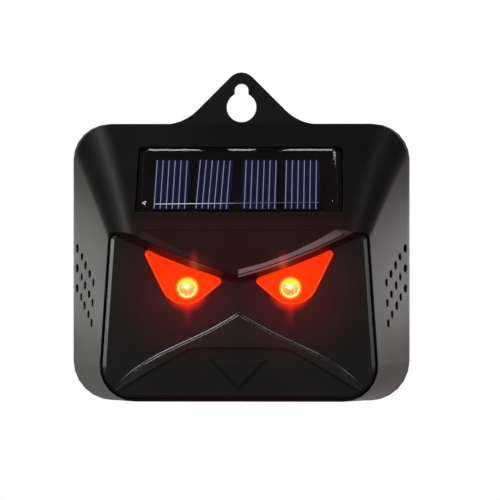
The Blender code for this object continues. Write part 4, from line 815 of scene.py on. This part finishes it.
def smooth_skin(piece):
    """Lets the shell's outer faces shade by the true curve of the skin, and leaves the rest as it is."""
    mesh = piece.data
    normals = [corner.vector.copy() for corner in mesh.corner_normals]
    nudge, near, alike = 0.03 * MM, 0.25 * MM, 0.95
    for polygon in mesh.polygons:
        points = [mesh.vertices[k].co for k in polygon.vertices]
        if any(abs(skin_gap(p.x, -p.y, p.z)) > near for p in points):
            continue
        middle = polygon.center
        if polygon.normal.dot(skin_normal(middle.x, -middle.y, middle.z)) < alike:
            continue
        for corner, point in zip(polygon.loop_indices, points):
            inward = (middle - point).normalized() * min(nudge, (middle - point).length / 2)
            seen = point + inward
            normals[corner] = skin_normal(seen.x, -seen.y, seen.z)
    mesh.normals_split_custom_set(normals)


def wall_point(depth, height, side):
    """A point on a side wall's outside and the wall's outward direction there."""
    x = side * side_reach(depth, height)
    return Vector((x, -depth, height)), skin_normal(x, depth, height)


def sound_holes():
    """Two cutters for all the round holes of both grilles: their bores, and their flared mouths."""
    flared = 2 * HOLE_MOUTH_RADIUS - HOLE_RADIUS
    cones = (
        (HOLE_RADIUS, HOLE_RADIUS, -HOLE_REACH, HOLE_PROUD),
        (HOLE_RADIUS, flared, -HOLE_FLARE_DEPTH, HOLE_FLARE_DEPTH),
    )
    drills = []
    for side in (-1, 1):
        for column in range(HOLE_COLUMNS):
            for row in range(HOLE_ROWS):
                depth = HOLE_FIRST_DEPTH + column * HOLE_PITCH
                height = HOLE_TOP - column * HOLE_COLUMN_DROP - row * HOLE_ROW_PITCH
                place, out = wall_point(depth, height, side)
                turn = out.to_track_quat("Z", "Y").to_euler()
                for radius1, radius2, low, high in cones:
                    drop_selection()
                    bpy.ops.mesh.primitive_cone_add(
                        vertices=HOLE_SIDES, radius1=radius1, radius2=radius2, depth=high - low,
                        location=place + out * (low + high) / 2, rotation=turn,
                    )
                    drills.append(bpy.context.active_object)
    return join(drills[0::2]), join(drills[1::2])


def housing_shell():
    """The front housing with its edges softened as the mould leaves them, and its sound holes round."""
    shell = copy_of("front_housing", "black_abs", "polished_edge")
    for cutter in sound_holes():
        cut_with(shell, cutter)
    make_whole(shell)
    forehead = Vector((0, -ROOF_RATIO, 1)).normalized()

    def beside_forehead(sides):
        return any(n.dot(forehead) > 0.97 for n in sides)

    def at_brow(point):
        return abs(depth_of(point) - VISOR_FACE) < 1.5 * NEAR and abs(point.z - BROW_HEIGHT) < 3 * NEAR

    def at_window(point):
        return point.z > BROW_HEIGHT + WINDOW_ABOVE_BROW / 2 and depth_of(point) > WINDOW_LEAST_DEPTH

    def on_visor(ends, sides):
        return all(depth_of(p) > BODY_DEPTH - NEAR for p in ends)

    def on_brow(ends, sides):
        return all(at_brow(p) for p in ends) and beside_forehead(sides)

    def on_window(ends, sides):
        return all(at_window(p) for p in ends) and beside_forehead(sides)

    def on_pocket(ends, sides):
        return all(abs(depth_of(p) - FACE_DEPTH) < 2 * NEAR for p in ends)

    soften(shell, VISOR_EDGE, 1, on_visor, 12, finish=1)
    soften(shell, BROW_EDGE, 2, on_brow, 12, finish=1)
    soften(shell, WINDOW_EDGE, 2, on_window, finish=1)
    soften(shell, GROOVE_EDGE, 3, on_pocket)
    finish_mesh(shell)
    smooth_skin(shell)
    dress(shell, "housing_shell", "black_abs", "housing", "front_housing")


def lip_height(x):
    """The height of the ridge over the muzzle at one place across the face."""
    share = abs(x) / PLATE_FOOT_HALF
    fall = sum(part * share**power for power, part in enumerate(LIP_FALL_SHARES, 1))
    return LIP_APEX + (PLATE_FOOT - LIP_APEX) * fall


def widen_side_edges(piece):
    """Moves the front corner of the mask's side edges inwards and leans their faces to the sides."""
    for point in piece.data.vertices:
        outline = PLATE_TOP_HALF + (PLATE_TOP - point.co.z) * FLARE_RATIO
        inside = outline - abs(point.co.x)
        behind = PLATE_FRONT - depth_of(point.co)
        if abs(behind) < NEAR / 2 and inside < EDGE_REACH:
            nudge = EDGE_EXTRA * min(1, (EDGE_REACH - inside) / EDGE_FADE)
            point.co.x -= math.copysign(nudge, point.co.x)
        elif NEAR < behind < EDGE_FOOT_DEPTH and inside < EDGE_FOOT_REACH:
            point.co.y += EDGE_EXTRA * EDGE_TILT


def is_polished(polygon):
    """Whether a face of the mask is on a side edge, on a crest of the lip or at a corner of the triangle."""
    middle, normal = polygon.center, polygon.normal
    x, depth = abs(middle.x), depth_of(middle)
    outer = x > PLATE_TOP_HALF - POLISHED_REACH and depth > PLATE_FRONT - POLISHED_DEPTH
    side_edge = outer and abs(normal.x) > 0.2 and normal.y < -0.7
    lip_crest = polygon.material_index == 1 and middle.z < LIP_APEX + 10 * NEAR
    beside = abs(x - NOSE_CORNER_X) < NOSE_CORNER_REACH
    near_nose = beside and abs(middle.z - NOSE_CORNER_Z) < NOSE_CORNER_REACH
    nose_corner = near_nose and abs(normal.x) > 0.2 and normal.z > 0.05
    return side_edge or lip_crest or nose_corner


def mask():
    """The face plate, with a bright edge at each side, crisp lip steps and a softened fold and triangle."""
    piece = copy_of("face_plate", "mask", "polished_edge")
    make_whole(piece)
    widen_side_edges(piece)

    def is_step(normal):
        return normal.y > -0.55 and normal.z > 0.35

    def on_relief(ends, sides):
        return all(depth_of(p) > PLATE_FRONT + 3 * NEAR for p in ends) and not any(is_step(n) for n in sides)

    for step, width in enumerate(LIP_CREST_EDGES):
        drop = LIP_EDGE * (step + 1) / 2 + LIP_LAND * step
        crest = PLATE_FRONT + LIP_RISE * (step + 1) / 2

        def on_crest(ends, sides):
            level = all(abs(depth_of(p) - crest) < 0.6 * NEAR for p in ends)
            return level and all(abs(p.z - lip_height(p.x) + drop) < 1.2 * NEAR for p in ends)

        soften(piece, width, 1, on_crest, 30, finish=1)
    soften(piece, RELIEF_EDGE, 2, on_relief, 30)
    finish_mesh(piece, MASK_CREASE)
    for polygon in piece.data.polygons:
        polygon.material_index = int(is_polished(polygon))
    dress(piece, "mask", "black_abs", "housing", "face_plate")


def rear_cover():
    """The back cover with its rim, tab and keyhole softened."""
    piece = copy_of("back_cover", "black_abs_back")
    make_whole(piece)

    def at_tab_or_rim(point):
        beside = abs(point.x) > HALF_WIDTH - COVER_RIM_ZONE
        below = point.z < COVER_RIM_ZONE - HALF_HEIGHT
        return point.z > HALF_HEIGHT - COVER_TAB_ZONE or beside or below

    def off_screws(point):
        reach = math.hypot(abs(point.x) - COVER_CORNER_X, abs(point.z) - COVER_CORNER_Z)
        return reach > COVER_CORNER_REACH

    def on_rim(ends, sides):
        levels = {round(depth_of(p) / COVER_THICK, 2) for p in ends}
        upright = any(abs(n.y) < 0.2 for n in sides)
        flat = any(abs(n.y) > 0.8 for n in sides)
        at_back = levels == {0} and all(off_screws(p) for p in ends)
        return levels in ({0}, {1}) and upright and flat and (all(at_tab_or_rim(p) for p in ends) or at_back)

    soften(piece, COVER_EDGE, 3, on_rim, 40)
    finish_mesh(piece)
    dress(piece, "rear_cover", "black_abs_back", "housing", "back_cover")


def softened(node, name, slot, body, width):
    """A small CAD piece with all its sharp edges eased."""
    piece = copy_of(node, slot)
    make_whole(piece)
    soften(piece, width, 2, lambda ends, sides: True, 35)
    finish_mesh(piece)
    dress(piece, name, slot, body, node)


# The eyes and their lamps


def eye(name):
    """One lens, whose edge glows with painted light paler than its face, and has painted shade on top."""
    node = f"eye_lens_{name}"
    piece = copy_of(node, "orange_lens", "lens_edge", "lens_shade")
    make_whole(piece)
    finish_mesh(piece)
    for polygon in piece.data.polygons:
        tilt = -polygon.normal.y
        edge = -0.2 < tilt < 0.8 and depth_of(polygon.center) > PLATE_FRONT - 4 * NEAR
        # Edge faces take the pale painted glow, and those facing up the deep red painted shade
        polygon.material_index = edge * (2 if polygon.normal.z > 0.25 else 1)
    dress(piece, f"eye_{name}", "orange_lens", "housing", node)


def lamp(side, name):
    """A lamp: domed tip, barrel, flange and two square pins."""
    shoulder = LED_TIP - LED_RADIUS
    drop_selection()
    bpy.ops.mesh.primitive_uv_sphere_add(
        segments=LAMP_SEGMENTS, ring_count=LAMP_SEGMENTS // 2, radius=LED_RADIUS,
        location=(side * LED_X, -shoulder, LED_Z), rotation=(math.pi / 2, 0, 0),
    )
    piece = clothe(bpy.context.active_object, "led_epoxy", "pin_metal")
    take(piece)
    bpy.ops.object.transform_apply(location=True, rotation=True, scale=True)
    edit(piece, "FACE")
    pick(piece, "polygons", lambda each: depth_of(each.center) < shoulder - NEAR / 2)
    bpy.ops.mesh.delete(type="FACE")
    bpy.ops.mesh.select_mode(type="EDGE")

    def at_shoulder(each):
        return all(abs(depth_of(piece.data.vertices[k].co) - shoulder) < NEAR / 5 for k in each.vertices)

    collar = LED_BASE + LED_FLANGE_THICK
    pick(piece, "edges", at_shoulder)
    bpy.ops.mesh.extrude_edges_move(TRANSFORM_OT_translate={"value": (0, shoulder - collar, 0)})
    bpy.ops.mesh.extrude_edges_move(TRANSFORM_OT_translate={"value": (0, 0, 0)})
    grow = LED_FLANGE_RADIUS / LED_RADIUS
    bpy.ops.transform.resize(value=(grow, 1, grow), center_override=(side * LED_X, -collar, LED_Z))
    bpy.ops.mesh.extrude_edges_move(TRANSFORM_OT_translate={"value": (0, LED_FLANGE_THICK, 0)})
    bpy.ops.mesh.edge_face_add()
    leave()
    pins = [lamp_pin(side * LED_X + hand * PIN_PITCH / 2) for hand in (-1, 1)]
    piece = join([piece, *pins])
    finish_mesh(piece, LAMP_CREASE)
    dress(piece, f"lamp_{name}", "led_epoxy", "housing", f"led_{name}")


def lamp_pin(x):
    """One square pin, down from the lamp's base."""
    drop_selection()
    bpy.ops.mesh.primitive_cube_add(size=1, location=(x, PIN_LENGTH / 2 - LED_BASE, LED_Z))
    pin = bpy.context.active_object
    pin.scale = (PIN_WIDTH, PIN_LENGTH, PIN_WIDTH)
    clothe(pin, "led_epoxy", "pin_metal")
    bpy.ops.object.transform_apply(location=True, rotation=True, scale=True)
    soften(pin, PIN_EDGE, 2, lambda ends, sides: True)
    for polygon in pin.data.polygons:
        polygon.material_index = 1
    return pin


# The solar panel


def panel_frame():
    """A frame on the middle of the forehead's window: X to the right, Y up the slope, Z outwards."""
    run = (WINDOW_ABOVE_BROW + WINDOW_HEIGHT / 2) / math.hypot(ROOF_RATIO, 1)
    origin = Vector((0, run - VISOR_FACE, BROW_HEIGHT + run * ROOF_RATIO))
    return Matrix.Translation(origin) @ Matrix.Rotation(math.atan(ROOF_RATIO), 4, "X")


def block(size, centre, *finishes, width=0, frame_of=Matrix.Identity(4)):
    """A block with eased edges, of a size and with its centre in a frame."""
    drop_selection()
    bpy.ops.mesh.primitive_cube_add(size=1)
    piece = clothe(bpy.context.active_object, *finishes)
    piece.scale = size
    piece.location = centre
    take(piece)
    bpy.ops.object.transform_apply(location=True, rotation=True, scale=True)
    if width:
        soften(piece, width, 2, lambda ends, sides: True)
    piece.data.transform(frame_of)
    return piece


def resin_cover():
    """The clear resin over the cells: a slab with a rim that rounds over, cut corners, and a pocket below."""
    width, height = WINDOW_WIDTH - 2 * GAP, WINDOW_HEIGHT - 2 * GAP
    thick = RESIN_SHOULDER - RESIN_FOOT
    piece = block((width, height, thick), (0, 0, RESIN_FOOT + thick / 2), "clear_resin", "resin_inside")
    soften(piece, RESIN_CORNER, 1, lambda ends, sides: abs(ends[0].z - ends[1].z) > thick / 2)
    edit(piece, "FACE")
    pick(piece, "polygons", lambda each: each.normal.z > 0.9)
    rise = RIM_SLOPE_WIDTH * math.tan(RIM_SLOPE)
    turns = [RIM_TURN * k / RIM_STEPS for k in range(RIM_STEPS + 1)]
    radius = (RESIN_PROUD - RESIN_SHOULDER - rise) / math.sin(RIM_TURN)
    bpy.ops.mesh.inset(thickness=RIM_LEDGE)
    for first, last in zip(turns, turns[1:]):
        inward = radius * (math.cos(first) - math.cos(last))
        bpy.ops.mesh.inset(thickness=inward, depth=radius * (math.sin(last) - math.sin(first)))
    bpy.ops.mesh.inset(thickness=RIM_SLOPE_WIDTH, depth=rise)
    pick(piece, "polygons", lambda each: each.normal.z < -0.9)
    bpy.ops.mesh.inset(thickness=RESIN_SKIRT)
    bpy.ops.mesh.extrude_region_move(TRANSFORM_OT_translate={"value": (0, 0, CELL_THICK + GAP)})
    leave()
    for polygon in piece.data.polygons:
        outside = max(abs(polygon.center.x) - width / 2, abs(polygon.center.y) - height / 2)
        below = polygon.normal.z < 0.1 and polygon.center.z < NEAR
        polygon.material_index = int(outside < -RESIN_INSIDE and below)
    piece.data.transform(panel_frame())
    finish_mesh(piece, RESIN_CREASE)
    dress(piece, "resin_cover", "clear_resin", "housing", "panel_resin")


def cell_seat(number):
    """A frame on the middle of one cell, turned as the cell lies."""
    share, tilt = CELL_CENTRE_SHARES[number - 1], CELL_TILTS_DEG[number - 1]
    seat = panel_frame() @ Matrix.Translation((share * WINDOW_WIDTH, (CELL_FOOT + CELL_TOP) / 2, RESIN_FOOT))
    return seat @ Matrix.Rotation(math.radians(-tilt), 4, "Z")


def cell(number):
    """One silicon wafer."""
    size = (CELL_WIDTH, CELL_TOP - CELL_FOOT, CELL_THICK)
    seat = cell_seat(number)
    piece = block(size, (0, 0, CELL_THICK / 2), "silicon", width=WAFER_EDGE, frame_of=seat)
    finish_mesh(piece)
    dress(piece, f"wafer_{number}", "silicon", "housing", f"solar_cell_{number}")


def cell_fingers(number):
    """The printed silver fingers of one cell, closer to one side of it."""
    hand = -1 if number == TURNED_CELL else 1
    size = (FINGER_WIDTH, CELL_TOP - CELL_FOOT - 2 * FINGER_INSET, FINGER_THICK)
    fingers = []
    for k in range(FINGERS):
        centre = (hand * (FINGER_FIRST + k * FINGER_PITCH - CELL_WIDTH / 2), 0, CELL_THICK + FINGER_THICK / 2)
        fingers.append(block(size, centre, "silver", width=FINGER_THICK / 3, frame_of=cell_seat(number)))
    piece = join(fingers)
    finish_mesh(piece)
    dress(piece, f"cell_fingers_{number}", "silicon", "housing")


def bus_wire():
    """The thin tinned wire that joins the cells near their foot."""
    seat = panel_frame() @ Matrix.Rotation(BUS_TILT, 4, "Z")
    size = (BUS_LENGTH, BUS_WIDTH, FINGER_THICK)
    centre = (BUS_MIDDLE, CELL_FOOT + BUS_ABOVE_FOOT, RESIN_FOOT + CELL_THICK + FINGER_THICK * 1.5)
    piece = block(size, centre, "tinned_wire", width=FINGER_THICK / 3, frame_of=seat)
    finish_mesh(piece)
    dress(piece, "bus_wire", "silicon", "housing")


# Plain CAD nodes that keep their shape


def finish_nodes():
    """Gives each CAD node that no new piece stands for its finish."""
    for name, slot in NODE_SLOTS.items():
        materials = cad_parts[name].data.materials
        materials.clear()
        materials.append(FINISHES[slot])


NODE_SLOTS = {
    "solar_board": "dark_board",
    "panel_pad": "foam",
    "circuit_board": "green_board",
    "controller_chip": "chip_plastic",
    "boost_coil": "chip_plastic",
    "capacitor": "aluminium",
    "battery_cell": "cell_wrap",
    "battery_contact_minus": "steel",
    "battery_contact_plus": "steel",
    "battery_spring": "steel",
    "battery_lead_black": "black_wire",
    "battery_lead_red": "red_wire",
    "solar_lead_black": "black_wire",
    "solar_lead_red": "red_wire",
    "switch_lead": "red_wire",
    "transducer_lead_left": "black_wire",
    "transducer_lead_right": "black_wire",
    "transducer_left": "aluminium",
    "transducer_right": "aluminium",
    "transducer_foam_left": "foam",
    "transducer_foam_right": "foam",
    "cover_seal": "rubber",
    "switch_body": "steel",
}


# The stage, the light and the camera


def floor():
    """A pale disc under the object that fades to the white of the background."""
    drop_selection()
    bpy.ops.mesh.primitive_circle_add(
        vertices=96, radius=FLOOR_RADIUS, fill_type="NGON", location=(0, 0, FLOOR_LEVEL)
    )
    disc = bpy.context.active_object
    disc.name = "floor"
    finish = Finish("floor", (0.85, 0.85, 0.85), Roughness=0.6, Specular_IOR_Level=0.1)
    spot = finish.place()
    x, y = finish.part_of(spot, "X"), finish.part_of(spot, "Y")
    reach = (x * x + y * y) ** 0.5
    fade = reach.rising(*FLOOR_FADE)
    grain = finish.noise(240, 3)
    finish.feed(Base_Color=finish.mix(grain, (0.84, 0.84, 0.84), (0.87, 0.87, 0.87)))
    lit = Channel(finish, finish.shader.outputs[0])
    glow = finish.node("ShaderNodeEmission", None, {"Color": (1, 1, 1, 1), "Strength": 1})
    both = finish.node("ShaderNodeMixShader", None, {0: fade, 1: lit, 2: glow})
    finish.tree.links.new(both.socket, finish.tree.nodes["Material Output"].inputs["Surface"])
    disc.data.materials.append(finish.material)
    disc.visible_glossy = False


def surroundings():
    """White behind the object, for the eye and for its sides to mirror, and a dim studio in front of it.

    The ranges are shares of a ray's direction: across to the right, away from the camera and up.
    """
    world = bpy.data.worlds.new("studio")
    bpy.context.scene.world = world
    world.use_nodes = True
    sky = Nodes(world.node_tree)
    way = sky.node("ShaderNodeTexCoord", output="Generated")
    across, away, up = [sky.part_of(way, axis) for axis in "XYZ"]
    behind = away.rising(0.30, 0.85) * (1 - up.size().rising(0.05, 0.5) * 0.25)
    below_left = (up * -1).rising(0.30, 0.60) * (across * -1).rising(-0.10, 0.20)
    shiny = sky.blend(behind * (1 - below_left * 0.9), STUDIO_DIM, STUDIO_BACK)
    kinds = ("Is Glossy Ray", "Is Camera Ray", "Is Transmission Ray")
    mirrored, direct, through = [sky.node("ShaderNodeLightPath", output=kind) for kind in kinds]
    seen = sky.blend(mirrored, STUDIO_FILL, shiny)
    strength = sky.blend(direct.most(through), seen, 1)
    warm = sky.mix(across.rising(-0.3, 0.3), (1, 0.985, 0.93), (1, 0.90, 0.87))
    tint = sky.mix(mirrored * (1 - direct), (1, 1, 1), warm)
    background = world.node_tree.nodes["Background"]
    world.node_tree.links.new(tint.socket, background.inputs["Color"])
    world.node_tree.links.new(strength.socket, background.inputs["Strength"])


def softbox(name, place, aim, size, radiance):
    """A flat light at a place, turned to what it aims at, as bright as its radiance says."""
    width, height = size
    panel = bpy.data.lights.new(name, "AREA")
    panel.shape = "RECTANGLE"
    panel.size = width
    panel.size_y = height
    panel.energy = radiance * math.pi * width * height
    box = bpy.data.objects.new(name, panel)
    bpy.context.scene.collection.objects.link(box)
    box.location = place
    box.rotation_euler = (aim - place).to_track_quat("-Z", "Y").to_euler()
    box.visible_camera = False


def lights():
    """The small lights that the mask's edges, lip and nose and the resin mirror, and the walls' panels."""
    for name, (way, size, radiance) in LIGHTS.items():
        softbox(name, MIDDLE + Vector(way).normalized() * LIGHT_DISTANCE, MIDDLE, size, radiance)
    for side, radiance in zip((-1, 1), PANEL_RADIANCES):
        place = Vector((side * PANEL_OUT, PANEL_BACK, 0))
        aim = Vector((side * PANEL_AIM_OUT, PANEL_AIM_BACK, 0))
        softbox("wall_panel", place, aim, PANEL_SIZE, radiance)


def camera():
    data = bpy.data.cameras.new("camera")
    data.lens = CAMERA_LENS_MM
    data.sensor_width = SENSOR_MM
    data.clip_start = CAMERA_NEAR
    viewer = bpy.data.objects.new("camera", data)
    bpy.context.scene.collection.objects.link(viewer)
    viewer.location = CAMERA_PLACE
    viewer.rotation_euler = (Vector(CAMERA_AIM) - Vector(CAMERA_PLACE)).to_track_quat("-Z", "Y").to_euler()
    bpy.context.scene.camera = viewer


camera()
surroundings()
lights()
floor()

housing_shell()
mask()
rear_cover()
for side, name in ((-1, "left"), (1, "right")):
    eye(name)
    lamp(side, name)
resin_cover()
for number in range(1, 5):
    cell(number)
    cell_fingers(number)
    softened(f"cover_screw_{number}", f"screw_{number}", "steel", "housing", SCREW_EDGE)
    softened(f"board_screw_{number}", f"short_screw_{number}", "steel", "housing", SCREW_EDGE)
bus_wire()
softened("switch_slider", "slider_knob", "switch_plastic", "slider", SLIDER_EDGE)
finish_nodes()

bpy.context.scene.view_settings.view_transform = "Standard"
